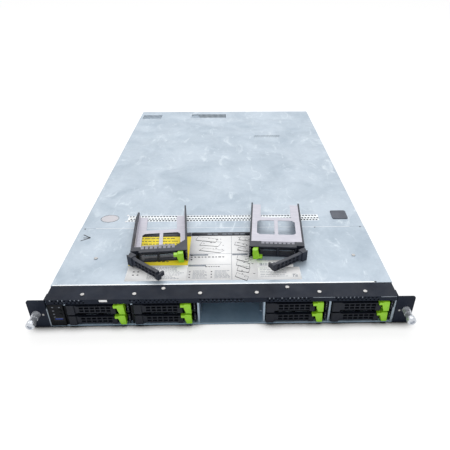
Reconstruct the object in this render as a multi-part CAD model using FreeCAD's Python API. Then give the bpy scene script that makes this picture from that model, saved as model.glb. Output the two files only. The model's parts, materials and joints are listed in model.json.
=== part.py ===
import FreeCAD, Part
import math
import os

from FreeCAD import Placement, Rotation, Vector

# A 1U rack server, in millimetres. +X runs across the front to the right, +Y to the back, +Z up.
# The origin is the middle of the underside, in the plane where the ears' rear faces meet the rack.

# Sides of the many-sided rods
SMALL_SIDES = 8
LARGE_SIDES = 12
HUB_SIDES = 14

# Case
CASE_WIDTH = 440.0
CASE_HEIGHT = 43.0
CASE_DEPTH = 770.0
FLOOR_FRONT = -1.0
BASE_SHEET = 1.2
COVER_SHEET = 1.0
SHEET_GAP = 0.2
COVER_FLANGE = 9.0
COVER_SEAM = 168.0
WALL_OUT = CASE_WIDTH / 2 - COVER_SHEET - SHEET_GAP
WALL_IN = WALL_OUT - BASE_SHEET
WALL_TOP = CASE_HEIGHT - COVER_SHEET - SHEET_GAP
REAR_WALL = CASE_DEPTH - BASE_SHEET
STUD_RADIUS = 2.5
STUD_LENGTH = 4.2
STUD_PLACES = (90.0, CASE_DEPTH - 150.0)
STUD_HEIGHT = CASE_HEIGHT / 2

# Front top plate, with its perforated flange
TOP_SHEET = 1.2
TOP_DEPTH = 27.0
TOP_FRONT = -1.2
TOP_FLANGE = 6.8
TOP_HALF = WALL_OUT - SHEET_GAP
PERFORATION_PITCH = 10.12
PERFORATION_SIZE = 3.4
PERFORATION_RISE = 0.9
PERFORATION_EDGE = 5.4
PERFORATED = ((-212.0, -168.0), (-116.5, -53.8), (-29.8, 31.0), (53.7, 115.0), (139.0, 200.0))
NOTCH_PLACES = (9.6 - TOP_HALF, TOP_HALF - 11.6)
NOTCH_SIZE = (3.0, 2.0)

# Ears and thumbscrews
EAR_REACH = 21.3
RACK_WIDTH = CASE_WIDTH + 2 * EAR_REACH
EAR_SHEET = 2.0
EAR_FLANGE = 1.8
EAR_FLANGE_DEPTH = 20.0
EAR_BOTTOM = 0.4
EAR_CORNER = 3.0
RACK_HOLE_X = RACK_WIDTH / 2 - 8.75
RACK_HOLE_HEIGHT = CASE_HEIGHT / 2
SCREW_RADIUS = 2.5
SCREW_NECK = 2.4
SCREW_SHANK = 9.0
RUNNING_GAP = 0.05
SLEEVE_RADIUS = 4.4
SLEEVE_LENGTH = 9.0
KNOB_RADIUS = 5.5
KNOB_LENGTH = 9.2
KNOB_SIDES = 14
COLLAR_RADIUS = 3.7
COLLAR_LENGTH = 4.5

# The 2.5-inch drive and the tray that holds it, which set the carrier's size
DRIVE_WIDTH = 69.85
DRIVE_LENGTH = 100.4
DRIVE_HEIGHT = 14.6
DRIVE_SIDE_GAP = 0.175
DRIVE_SETBACK = 5.0
TRAY_SHEET = 0.8
TRAY_GAP = 0.2
RAIL = 2.4
BEZEL_DEPTH = 14.0
BEZEL_SETBACK = 5.0
TRAY_FRONT = BEZEL_DEPTH + TRAY_GAP
DRIVE_FRONT = TRAY_FRONT + DRIVE_SETBACK
TRAY_BACK = DRIVE_FRONT + DRIVE_LENGTH + 3.4
CARRIER_WIDTH = DRIVE_WIDTH + 2 * (RAIL + TRAY_GAP + TRAY_SHEET + DRIVE_SIDE_GAP)
CARRIER_HEIGHT = TRAY_GAP + TRAY_SHEET + DRIVE_HEIGHT + 0.9
CARRIER_LENGTH = TRAY_BACK + 6.0

# Drive bays: as many columns of carriers as fit beside the control panel, the middle one empty
PANEL_SPACE = 18.0
DIVIDER_WIDTH = 2.6
DIVIDER_FRONT = 1.0
DIVIDER_CORNER = 4.0
CARRIER_GAP = 1.2
CARRIER_RIGHT_GAP = 2.35
COLUMN_PITCH = DIVIDER_WIDTH + CARRIER_GAP + CARRIER_WIDTH + CARRIER_RIGHT_GAP
COLUMNS = int((2 * WALL_IN - PANEL_SPACE) / COLUMN_PITCH)
EMPTY_COLUMN = COLUMNS // 2
FIRST_DIVIDER = WALL_IN - COLUMNS * COLUMN_PITCH
ROW_PITCH = CARRIER_HEIGHT + 0.6
ROW_FLOOR = BASE_SHEET + 0.6
CAGE_SHEET = 0.8
CAGE_ROOF = CASE_HEIGHT - TOP_FLANGE - 0.4
CAGE_ROOF_FRONT = 3.0
CAGE_DEPTH = BEZEL_SETBACK + CARRIER_LENGTH - 1.0
DIVIDER_FACE = 5.0
ROWS = int((CAGE_ROOF - BASE_SHEET) / ROW_PITCH)
RIB_HEIGHT = 1.4
RIB_REACH = 0.8
RIB_FRONT = 15.0

# Drive carrier, in its own frame: x from its left side, y back from the bezel, z up from its underside
BEZEL_WEB = 2.0
RAIL_TAIL = 8.0
RAIL_TAPER = 34.0
GROOVE_HEIGHT = 2.0
GROOVE_DEPTH = 1.1
GROOVE_MIDDLE = 5.5
GROOVE_FRONT = 8.0
HINGE_X = 2.5
LUG_RADIUS = 2.5
LUG_LOW = 5.8
LUG_HIGH = 11.2
RECESS_WIDTH = 11.4
RECESS_DEPTH = 4.4
CAVITY_LEFT = 12.6
CAVITY_RIGHT = CARRIER_WIDTH - 15.8
CAVITY_POST = 2.4
CAVITY_BAR = 1.6
CAVITY_BAR_DEPTH = 3.0
CAVITY_BAR_GAP = 1.5
POCKET_LEFT = CARRIER_WIDTH - 14.4
POCKET_RIGHT = CARRIER_WIDTH - 2.1
POCKET_DEPTH = 9.0
CHEEK_REACH = 4.5
GUSSET = 13.0

# Carrier tray
TRAY_SIDE = 9.2
TRAY_STRIP = 12.8
TRAY_CROSSBAR = 82.0
WINDOW_FRONT = 33.0
WINDOW_BACK = 73.0
WINDOW_EDGE = 10.3
WINDOW_BAR = 5.4
WINDOW_CORNER = 4.0
COMB_SHEET = 0.4
COMB_FRONT = 8.0
COMB_BACK = 17.0
COMB_TEETH = 8
COMB_TOOTH = 4.2
COMB_END = 1.0
COMB_STRIP = 2.5
COMB_RECESS = 0.5
COMB_CLEARANCE = 0.5

# Lever: cam block, arm with two rows of slots, hook
LEVER_LOW = 1.4
LEVER_HIGH = CARRIER_HEIGHT - 0.4
BLOCK_LEFT = -0.9
BLOCK_RIGHT = 9.9
BLOCK_FRONT = -8.0
BLOCK_BACK = 1.4
BLOCK_CORNER = 2.0
HEEL_CUT = (1.5, 2.0)
LUG_GAP = 0.4
PIN_RADIUS = 1.0
CAM_SWING = 30.0
CAM_GAP = 0.3
ARM_FRONT = -6.5
ARM_BACK = -1.5
ARM_LOW = 3.2
ARM_HIGH = CARRIER_HEIGHT - 2.9
ARM_START = 13.6
ARM_END = CARRIER_WIDTH - 19.4
ARM_TAPER = 0.8
TOE_END = CARRIER_WIDTH - 16.2
TOE_LAP = 3.0
TOE_PROUD = 0.6
TOE_LOW = 1.9
TOE_HIGH = 10.5
HOOK_WIDTH = 2.6
HOOK_FLARE = 1.4
HOOK_INSET = 0.8
HOOK_BACK = 4.5
SLOT_COLUMNS = 6
SLOT_ROWS = 2
SLOT_ROWS_IN_BAY = 1
SLOT_FIRST = 15.6
SLOT_LAST = CARRIER_WIDTH - 22.4
SLOT_BAR = 1.4

# Latch
LATCH_FRONT = -8.0
LATCH_PLATE = 5.4
LATCH_RIGHT = CARRIER_WIDTH - 4.8
LATCH_WAIST = CARRIER_WIDTH - 11.8
TAB_LEFT = CARRIER_WIDTH - 18.6
TAB_LOW = 11.1
TAB_HIGH = CARRIER_HEIGHT - 1.5
TAB_ROOT = (2.6, 2.0, 1.0)
WAIST_HEIGHT = 8.0
LATCH_DRAFT = 0.8
STEM_LEFT = CARRIER_WIDTH - 12.8
STEM_RIGHT = CARRIER_WIDTH - 5.6
STEM_GAP = 0.4

# The two carriers that are out of the case and lie on the covers
LOOSE_GAP = 0.2
LEFT_LOOSE = {"corner": (-125.5, 75.0), "turn": 5.2, "lever": 45.0, "flipped": False}
RIGHT_LOOSE = {"corner": (36.6, 89.5), "turn": -4.0, "lever": 38.0, "flipped": True}

# Control panel
PANEL_GAP = 0.2
PANEL_SHELL = 1.2
PANEL_FACE = 2.0
PANEL_FRONT = -1.5
PANEL_DEPTH = 16.0
PANEL_LOW = 1.5
BUTTON_INSET = 4.45
BUTTON_X = FIRST_DIVIDER - BUTTON_INSET
POWER_HEIGHT = CAGE_ROOF - 9.8
POWER_RADIUS = 2.2
IDENT_HEIGHT = CAGE_ROOF - 15.8
IDENT_RADIUS = 1.9
BUTTON_GAP = 0.15
BUTTON_PROUD = 0.8
BUTTON_TRAVEL = 0.7
BUTTON_LENGTH = 7.0
BUTTON_COLLAR = 0.6
COLLAR_SHEET = 1.0
LAMP_RADIUS = 1.1
LAMP_INSET = 12.85
LAMP_X = FIRST_DIVIDER - LAMP_INSET
LAMP_TOP = CAGE_ROOF - 4.2
LAMP_PLACES = ((LAMP_X, LAMP_TOP), (LAMP_X, POWER_HEIGHT), (LAMP_X, IDENT_HEIGHT + 0.6), (BUTTON_X, LAMP_TOP))
USB_INSET = 8.05
USB_DROP = 7.8
USB_MIDDLE = (FIRST_DIVIDER - USB_INSET, IDENT_HEIGHT - USB_DROP)
USB_SIZE = (12.4, 5.2)
USB_WALL = 0.5
USB_LENGTH = 12.5
USB_BACK = 1.0
TONGUE_SHEET = 1.6
TONGUE_RISE = 0.3
TONGUE_SIDE = 1.2
TONGUE_SETBACK = 0.6
PANEL_BOARD = 1.6
PANEL_BOARD_EDGE = 1.6
SWITCH_SIZE = 3.0

# Backplane
BACKPLANE_Y = CAGE_DEPTH + 5.0
BACKPLANE_SHEET = 1.6
SOCKET_SIZE = (33.0, 4.8)
SOCKET_GAP = 0.3
SOCKET_SIDE = 6.5
SOCKET_RISE = 4.0
AIR_SLOT = (44.0, CARRIER_WIDTH - 7.0)
AIR_SLOT_LOW = 5.0
AIR_SLOT_HIGH = CAGE_ROOF - 2.8

# Fan wall
FANS = 4
FAN_FROM_BUTTON = 7.8
FAN_FROM_WALL = 37.6
FAN_SIZE = WALL_TOP - BASE_SHEET - 3 * SHEET_GAP
FAN_FRONT = 205.0
FAN_DEPTH = 28.0
FAN_WALL = 1.2
DUCT_RADIUS = FAN_SIZE / 2 - 0.6
DUCT_SIDES = 20
TIP_GAP = 0.8
HUB_RADIUS = 10.5
SHAFT_RADIUS = 1.5
BLADES = 7
BLADE_TILT = 38.0
BLADE_SHEET = 1.2
BLADE_CHORD = 17.0
BLADE_ROOT = 2.0
SPIDER_ARMS = 3
SPIDER_DEPTH = 3.0
SPIDER_ARM = 2.4
ROTOR_GAP = 0.6
ROTOR_FRONT = 1.0

# System board
BOARD_Z = 8.0
BOARD_SHEET = 1.6
BOARD_EDGE = 5.0
BOARD_FRONT = 290.0
BOARD_TOP = BOARD_Z + BOARD_SHEET
STANDOFF_RADIUS = 2.5
STANDOFF_SIDES = 6
CPU_PLACES = (-95.0, 95.0)
CPU_FRONT = BOARD_FRONT + 55.0
CPU_SOCKET = (52.0, 60.0)
COOLER_SIZE = (88.0, 92.0)
COOLER_FOOT = 4.0
COOLER_TOP = WALL_TOP - 2.8
COOLER_FINS = 8
COOLER_FIN = 1.2
SOCKET_STACK = 3.0
MODULE_SHEET = 1.3
MODULE_LENGTH = 133.3
MODULE_FRONT = BOARD_FRONT + 35.0
MODULE_PITCH = 10.0
MODULE_SOCKET_EDGE = (2.5, 3.0)
MODULE_SOCKET_HEIGHT = 2.0
MODULE_BANKS = (BOARD_EDGE + 7.6 - WALL_IN, -20.0, WALL_IN - BOARD_EDGE - 37.6)
MODULES_IN_BANK = 4

# Power supplies, at the left of the rear
SUPPLIES = 2
SUPPLY_GAP = 0.3
SUPPLY_SIDE_GAP = 0.8
SUPPLY_ROOM = 1.1
SUPPLY_WIDTH = 73.0
SUPPLY_HEIGHT = WALL_TOP - BASE_SHEET - SUPPLY_GAP - SUPPLY_ROOM
SUPPLY_LENGTH = 205.0
BOARD_STEP = CASE_DEPTH - SUPPLY_LENGTH - 20.0
BAY_WALL = 1.0
BAY_WALL_HEIGHT = WALL_TOP - 1.8
INLET_SIZE = (24.0, 17.0)
INLET_DEPTH = 14.0
INLET_PLACE = (5.0, 16.0)
BAIL_LEFT = 33.0
BAIL_REACH = 22.0
BAIL_WIDTH = 34.0
BAIL_CORNER = 6.0
BAIL_ROD = 3.0
TAB_TRAVEL = 3.0
TAB_WIDTH = 7.0
TAB_DEPTH = 10.0
TAB_PAD = 3.0
TAB_RIM = 1.5
TAB_PLACE = (41.5, 3.0)

# Rear ports and slots
PORT_FRONT = CASE_DEPTH - 18.0
PORT_PROUD = 0.6
JACK_SIZE = (16.0, 13.5)
JACK_HOLLOW = (11.8, 8.4)
JACK_RISE = 2.0
JACK_DEPTH = 12.0
JACK_INSETS = (157.6, 139.6)
USB_REAR_INSETS = (192.6, 175.6)
VIDEO_INSET = 222.6
VIDEO_SIZE = (31.0, 12.5)
PORT_GAP = 0.3
SLOT_INSETS = (109.6, 52.6)
SLOT_WINDOW = (42.0, 3.0)
SLOT_LINES = 4
SLOT_LINE_PITCH = 6.0
SLOT_LINE_LOW = 12.0

# Rear cover: vents, hole band, release button
VENT_LEFT = 8.0 - CASE_WIDTH / 2
VENT_LOUVRES = (
    {"x": (VENT_LEFT, VENT_LEFT + 48.0), "y": (CASE_DEPTH - 59.0, CASE_DEPTH - 29.0), "count": 5},
    {"x": (-87.0, 3.0), "y": (CASE_DEPTH - 52.0, CASE_DEPTH - 22.0), "count": 9},
)
LOUVRE_FILL = 0.4
SIDE_VENT = {"x": (67.0, 127.0), "y": (CASE_DEPTH - 199.0, CASE_DEPTH - 186.0), "count": 5}
BAND_LEFT = -150.0
BAND_RIGHT = 157.0
BAND_PITCH = 19.6
BAND_HOLE = 3.4
BAND_ROWS = (190.4, 195.7, 203.4)
OVAL_SIDES = 20
RELEASE_MIDDLE = (38.0 - CASE_WIDTH / 2, COVER_SEAM + 30.0)
RELEASE_RADII = (13.0, 10.5)
RELEASE_FIT = 0.25
RELEASE_THICK = 2.6
RELEASE_DROP = 2.0
RELEASE_LIP = 1.2
RELEASE_CLEARANCE = 1.0

# Screws on the top plate and the front cover
SCREW_HEAD = 2.7
SCREW_HEAD_HEIGHT = 0.9
TOP_SCREWS = (
    (-174.5, 9.0), (-110.0, 9.0), (-28.0, 9.0), (43.0, 9.0), (122.0, 9.0), (180.0, 9.0),
    (-75.0, 19.0), (82.6, 19.0), (-177.0, 87.3), (184.0, 89.0),
)

FAN_MIDDLE = BASE_SHEET + SHEET_GAP + FAN_SIZE / 2


def box(x, y, z):
    """A block between two values on each axis."""
    return Part.makeBox(x[1] - x[0], y[1] - y[0], z[1] - z[0], Vector(x[0], y[0], z[0]))


def rod(radius, start, direction, length):
    """A cylinder from a point, along a direction."""
    return Part.makeCylinder(radius, length, Vector(*start), Vector(*direction))


def many_sided(radius, start, direction, length, sides):
    """A rod with flat sides, whose corners lie on a radius: for small round pieces that repeat."""
    axis = Vector(*direction)
    turn = Rotation(Vector(0, 0, 1), axis)
    corners = []
    for i in range(sides + 1):
        angle = 2 * math.pi * (i + 0.5) / sides
        spoke = Vector(radius * math.cos(angle), radius * math.sin(angle), 0)
        corners.append(Vector(*start) + turn.multVec(spoke))
    return Part.Face(Part.makePolygon(corners)).extrude(axis * length)


def corner_radius(radius, sides):
    """The corners' radius of a many-sided hole whose flats touch a radius."""
    return radius / math.cos(math.pi / sides)


def prism(points, reach):
    """A closed outline of 3-D points, pulled along a vector."""
    corners = [Vector(*point) for point in points]
    outline = Part.makePolygon(corners + corners[:1])
    return Part.Face(outline).extrude(Vector(*reach))


def slab(points, z):
    """An XY outline between two heights."""
    return prism([(x, y, z[0]) for x, y in points], (0, 0, z[1] - z[0]))


def front_profile(points, y):
    """An XZ outline between two depths."""
    return prism([(x, y[0], z) for x, z in points], (0, y[1] - y[0], 0))


def side_profile(points, x):
    """A YZ outline between two X values."""
    return prism([(x[0], y, z) for y, z in points], (x[1] - x[0], 0, 0))


def union(shapes):
    """Shapes joined into one, with faces that lie in one plane merged."""
    return shapes[0].multiFuse(shapes[1:]).removeSplitter()


def carve(shape, tools):
    """A shape with every tool taken away."""
    return shape.cut(tools).removeSplitter()


def round_corners(shape, radius, axis, wanted):
    """Fillets on the straight edges along an axis whose middle satisfies a test."""
    edges = []
    for edge in shape.Edges:
        ends = [vertex.Point for vertex in edge.Vertexes]
        if len(ends) == 2 and isinstance(edge.Curve, Part.Line):
            along = (ends[1] - ends[0]).normalize()
            if abs(abs(along.dot(Vector(*axis))) - 1) < 1e-6 and wanted((ends[0] + ends[1]) * 0.5):
                edges.append(edge)
    return shape.makeFillet(radius, edges)


def spaced(first, last, count):
    """Evenly spaced values, both ends included."""
    return [first + (last - first) * i / (count - 1) for i in range(count)]


def mirrored(shape):
    """The same shape on the other side of the case."""
    return shape.mirror(Vector(0, 0, 0), Vector(1, 0, 0))


# Case

def supply_left(index):
    """The left side of a power supply."""
    return -WALL_IN + SUPPLY_SIDE_GAP + index * (SUPPLY_WIDTH + 2 * SUPPLY_SIDE_GAP + BAY_WALL)


def board_left():
    """Where the board's rear part starts, beside the power supplies."""
    return supply_left(SUPPLIES) + SUPPLY_SIDE_GAP + BOARD_EDGE


def port_blocks():
    """The rear connectors' outlines: middle, width, height."""
    jacks = [(WALL_IN - inset, JACK_SIZE[0], JACK_SIZE[1]) for inset in JACK_INSETS]
    usb = [(WALL_IN - inset, USB_SIZE[0] + 2 * USB_WALL, JACK_SIZE[1]) for inset in USB_REAR_INSETS]
    return jacks + usb + [(WALL_IN - VIDEO_INSET, VIDEO_SIZE[0], VIDEO_SIZE[1])]


def rear_openings():
    """What is cut out of the rear wall: power bays, connectors and slot vents."""
    y = (REAR_WALL - 1, CASE_DEPTH + 1)
    cuts = []
    for index in range(SUPPLIES):
        left = supply_left(index) - SUPPLY_SIDE_GAP
        top = BASE_SHEET + SUPPLY_HEIGHT + 2 * SUPPLY_GAP
        cuts.append(box((left, left + SUPPLY_WIDTH + 2 * SUPPLY_SIDE_GAP), y, (BASE_SHEET, top)))
    low = BOARD_TOP - PORT_GAP
    for middle, width, height in port_blocks():
        half = width / 2 + PORT_GAP
        cuts.append(box((middle - half, middle + half), y, (low, low + height + 2 * PORT_GAP)))
    for inset in SLOT_INSETS:
        place = WALL_IN - inset
        for line in range(SLOT_LINES):
            z = SLOT_LINE_LOW + line * SLOT_LINE_PITCH
            cuts.append(box((place, place + SLOT_WINDOW[0]), y, (z, z + SLOT_WINDOW[1])))
    return cuts


def chassis_base():
    """Floor, side walls and rear wall in one folded sheet, with studs, standoffs and bay walls."""
    floor = box((-WALL_OUT, WALL_OUT), (FLOOR_FRONT, CASE_DEPTH), (0, BASE_SHEET))
    wall = box((WALL_IN, WALL_OUT), (DIVIDER_FRONT, CASE_DEPTH), (0, WALL_TOP))
    rear = box((-WALL_OUT, WALL_OUT), (REAR_WALL, CASE_DEPTH), (0, WALL_TOP)).cut(rear_openings())
    solids = [floor, wall, mirrored(wall), rear]
    for place in STUD_PLACES:
        stud = rod(STUD_RADIUS, (WALL_OUT, place, STUD_HEIGHT), (1, 0, 0), STUD_LENGTH)
        solids += [stud, mirrored(stud)]
    for place in standoff_places():
        rise = BOARD_Z - BASE_SHEET
        start = (*place, BASE_SHEET)
        solids.append(many_sided(STANDOFF_RADIUS, start, (0, 0, 1), rise, STANDOFF_SIDES))
    for index in range(1, SUPPLIES + 1):
        right = supply_left(index) - SUPPLY_SIDE_GAP
        front = CASE_DEPTH - SUPPLY_LENGTH
        solids.append(box((right - BAY_WALL, right), (front, CASE_DEPTH), (0, BAY_WALL_HEIGHT)))
    for row in range(ROWS):
        solids.append(rib((WALL_IN - CARRIER_RIGHT_GAP - RIB_REACH, WALL_IN), row))
    return union(solids)


def standoff_places():
    """Where the board's standoffs rise from the floor."""
    left = board_left() + 2 * STANDOFF_RADIUS
    right = WALL_IN - 4 * STANDOFF_RADIUS
    front = BOARD_FRONT + 4 * STANDOFF_RADIUS
    step = BOARD_STEP - 4 * STANDOFF_RADIUS
    back = PORT_FRONT - 4 * STANDOFF_RADIUS
    return [(-right, front), (right, front), (-right, step), (left, back), (right, back)]


def front_top_plate():
    """The painted plate over the bays: top, front flange with its row of holes, notches."""
    top_z = (CASE_HEIGHT - TOP_SHEET, CASE_HEIGHT)
    low = CASE_HEIGHT - TOP_FLANGE
    back = TOP_DEPTH - SHEET_GAP
    top = box((-TOP_HALF, TOP_HALF), (TOP_FRONT, back), top_z)
    front_edge = (TOP_FRONT, TOP_FRONT + TOP_SHEET)
    flange = box((-WALL_IN + SHEET_GAP, WALL_IN - SHEET_GAP), front_edge, (low, CASE_HEIGHT))
    cuts = []
    half = PERFORATION_SIZE / 2
    row_z = low + half + PERFORATION_RISE
    for left, right in PERFORATED:
        for i in range(int((right - left) / PERFORATION_PITCH) + 1):
            x = left + i * PERFORATION_PITCH
            if abs(x) < TOP_HALF - PERFORATION_EDGE:
                diamond = [(x - half, row_z), (x, row_z - half), (x + half, row_z), (x, row_z + half)]
                cuts.append(front_profile(diamond, (TOP_FRONT - 1, TOP_FRONT + TOP_SHEET + 1)))
    for place in NOTCH_PLACES:
        across = (place, place + NOTCH_SIZE[0])
        cuts.append(box(across, (back - NOTCH_SIZE[1], back + 1), (top_z[0] - 1, CASE_HEIGHT + 1)))
    return carve(top.fuse(flange).removeSplitter(), cuts)


def ear_right():
    """Rack ear: folded plate with the screw's sleeve."""
    high = CASE_HEIGHT - SHEET_GAP
    plate = box((WALL_OUT, RACK_WIDTH / 2), (-EAR_SHEET, 0), (EAR_BOTTOM, high))
    outer = RACK_WIDTH / 2
    plate = round_corners(plate, EAR_CORNER, (0, 1, 0), lambda p: p.x > outer - 0.1 and p.z > high / 2)
    side_top = WALL_TOP - SHEET_GAP
    cut = EAR_FLANGE_DEPTH / 3
    flange = side_profile(
        [(-EAR_SHEET, EAR_BOTTOM), (EAR_FLANGE_DEPTH - cut, EAR_BOTTOM), (EAR_FLANGE_DEPTH, EAR_BOTTOM + cut),
         (EAR_FLANGE_DEPTH, side_top - cut), (EAR_FLANGE_DEPTH - cut, side_top), (-EAR_SHEET, side_top)],
        (WALL_OUT, WALL_OUT + EAR_FLANGE),
    )
    x = RACK_HOLE_X
    sleeve_front = -EAR_SHEET - SLEEVE_LENGTH
    sleeve_start = (x, sleeve_front, RACK_HOLE_HEIGHT)
    sleeve = many_sided(SLEEVE_RADIUS, sleeve_start, (0, 1, 0), SLEEVE_LENGTH, LARGE_SIDES)
    bore = many_sided(
        corner_radius(SCREW_RADIUS + RUNNING_GAP, LARGE_SIDES), (x, sleeve_front - 1, RACK_HOLE_HEIGHT),
        (0, 1, 0), SLEEVE_LENGTH + EAR_SHEET + 2, LARGE_SIDES,
    )
    return carve(union([plate, flange, sleeve]), [bore])


def thumbscrew_right():
    """Captive thumbscrew: knurled head, collar, thin neck in the sleeve and threaded shank behind the ear."""
    x = RACK_HOLE_X
    z = RACK_HOLE_HEIGHT
    collar_back = -EAR_SHEET - SLEEVE_LENGTH - SHEET_GAP
    head_back = collar_back - COLLAR_LENGTH
    head_front = head_back - KNOB_LENGTH
    neck = many_sided(SCREW_NECK, (x, collar_back, z), (0, 1, 0), SHEET_GAP - collar_back, LARGE_SIDES)
    shank = rod(SCREW_RADIUS, (x, SHEET_GAP, z), (0, 1, 0), SCREW_SHANK - SHEET_GAP)
    collar = many_sided(COLLAR_RADIUS, (x, head_back, z), (0, 1, 0), COLLAR_LENGTH, HUB_SIDES)
    head = many_sided(KNOB_RADIUS, (x, head_front, z), (0, 1, 0), KNOB_LENGTH, KNOB_SIDES)
    return union([head, collar, neck, shank])


def front_cover():
    """Fixed cover over the front of the case."""
    y = (TOP_DEPTH, COVER_SEAM)
    return cover_sheet(y)


def cover_sheet(y):
    """A flat sheet with a turned-down flange on each side."""
    half = CASE_WIDTH / 2
    top = box((-half, half), y, (CASE_HEIGHT - COVER_SHEET, CASE_HEIGHT))
    side = box((half - COVER_SHEET, half), y, (CASE_HEIGHT - COVER_FLANGE, CASE_HEIGHT))
    return union([top, side, mirrored(side)])


def oval_disc(middle, radii, z):
    """A flat-sided oval disc between two heights."""
    points = []
    for i in range(OVAL_SIDES):
        angle = 2 * math.pi * i / OVAL_SIDES
        points.append((middle[0] + radii[0] * math.cos(angle), middle[1] + radii[1] * math.sin(angle)))
    return slab(points, z)


def rear_cover():
    """Sliding cover over the rest of the case, with its vents and the release button's hole."""
    through = (CASE_HEIGHT - COVER_SHEET - 1, CASE_HEIGHT + 1)
    cuts = []
    for vent in VENT_LOUVRES:
        pitch = (vent["x"][1] - vent["x"][0]) / vent["count"]
        for i in range(vent["count"]):
            left = vent["x"][0] + i * pitch
            cuts.append(box((left, left + LOUVRE_FILL * pitch), vent["y"], through))
    half = BAND_HOLE / 2
    vent_pitch = (SIDE_VENT["x"][1] - SIDE_VENT["x"][0]) / SIDE_VENT["count"]
    for row, y in enumerate((SIDE_VENT["y"][0] + half, SIDE_VENT["y"][1] - half)):
        for i in range(SIDE_VENT["count"]):
            x = SIDE_VENT["x"][0] + (i + 0.5 * row) * vent_pitch
            cuts.append(box((x, x + BAND_HOLE), (y - half, y + half), through))
    for row, y in enumerate(BAND_ROWS):
        x = BAND_LEFT + row * BAND_PITCH / len(BAND_ROWS)
        while x <= BAND_RIGHT:
            cuts.append(box((x - half, x + half), (y - half, y + half), through))
            x += BAND_PITCH
    radii = [radius + RELEASE_FIT for radius in RELEASE_RADII]
    cuts.append(oval_disc(RELEASE_MIDDLE, radii, through))
    return carve(cover_sheet((COVER_SEAM + SHEET_GAP, CASE_DEPTH)), cuts)


def cover_button():
    """Oval button that frees the rear cover, with a lip that keeps it under the sheet."""
    top = CASE_HEIGHT + SHEET_GAP
    under = CASE_HEIGHT - COVER_SHEET - SHEET_GAP
    disc = oval_disc(RELEASE_MIDDLE, RELEASE_RADII, (top - RELEASE_THICK, top))
    lip_radii = [radius + RELEASE_LIP for radius in RELEASE_RADII]
    lip = oval_disc(RELEASE_MIDDLE, lip_radii, (top - RELEASE_THICK, under))
    return union([disc, lip])


def cover_screws():
    """Screw heads on the top plate and the front cover, as a group of separate solids."""
    heads = []
    for x, y in TOP_SCREWS:
        start = (x, y, CASE_HEIGHT)
        heads.append(many_sided(SCREW_HEAD, start, (0, 0, 1), SCREW_HEAD_HEIGHT, SMALL_SIDES))
    return Part.makeCompound(heads)


# Drive bays

def divider_left(column):
    """The left face of a bay's left divider."""
    return FIRST_DIVIDER + column * COLUMN_PITCH


def rib(x, row):
    """A guide rib for the carriers of one row."""
    middle = ROW_FLOOR + row * ROW_PITCH + GROOVE_MIDDLE
    return box(x, (RIB_FRONT, CAGE_DEPTH), (middle - RIB_HEIGHT / 2, middle + RIB_HEIGHT / 2))


def drive_cage():
    """Folded dividers with guide ribs, under one roof sheet."""
    roof_z = (CAGE_ROOF, CAGE_ROOF + CAGE_SHEET)
    solids = [box((FIRST_DIVIDER, WALL_IN), (CAGE_ROOF_FRONT, CAGE_DEPTH), roof_z)]
    for column in range(COLUMNS):
        left = divider_left(column)
        x = (left, left + DIVIDER_WIDTH)
        top = CAGE_ROOF + CAGE_SHEET
        wall = side_profile(
            [(DIVIDER_FRONT, BASE_SHEET), (CAGE_DEPTH, BASE_SHEET), (CAGE_DEPTH, top),
             (DIVIDER_FRONT + DIVIDER_CORNER / 2, top), (DIVIDER_FRONT, top - DIVIDER_CORNER)],
            x,
        )
        hollow_x = (left + CAGE_SHEET, x[1] - CAGE_SHEET)
        hollow_y = (DIVIDER_FRONT + DIVIDER_FACE, CAGE_DEPTH + 1)
        hollow = box(hollow_x, hollow_y, (BASE_SHEET - 1, CAGE_ROOF))
        solids.append(wall.cut(hollow))
        for row in range(ROWS):
            solids.append(rib((x[1], x[1] + CARRIER_GAP + RIB_REACH), row))
            if column > 0:
                solids.append(rib((left - CARRIER_RIGHT_GAP - RIB_REACH, left), row))
    return union(solids)


def drive_backplane():
    """Board behind the bays, with a socket for each bay and air slots between."""
    x = (FIRST_DIVIDER, WALL_IN - SHEET_GAP)
    board = box(x, (BACKPLANE_Y, BACKPLANE_Y + BACKPLANE_SHEET), (BASE_SHEET, CAGE_ROOF))
    slots = []
    sockets = []
    drive_back = BEZEL_SETBACK + DRIVE_FRONT + DRIVE_LENGTH + SOCKET_GAP
    through = (BACKPLANE_Y - 1, BACKPLANE_Y + BACKPLANE_SHEET + 1)
    for column in range(COLUMNS):
        left = bay_left(column)
        slots.append(box((left + AIR_SLOT[0], left + AIR_SLOT[1]), through, (AIR_SLOT_LOW, AIR_SLOT_HIGH)))
        for row in range(ROWS):
            low = ROW_FLOOR + row * ROW_PITCH + SOCKET_RISE
            across = (left + SOCKET_SIDE, left + SOCKET_SIDE + SOCKET_SIZE[0])
            sockets.append(box(across, (drive_back, BACKPLANE_Y), (low, low + SOCKET_SIZE[1])))
    return union([board.cut(slots)] + sockets)


# Drive carrier

def bay_left(column):
    """The left side of the carriers in a column."""
    return divider_left(column) + DIVIDER_WIDTH + CARRIER_GAP


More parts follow.
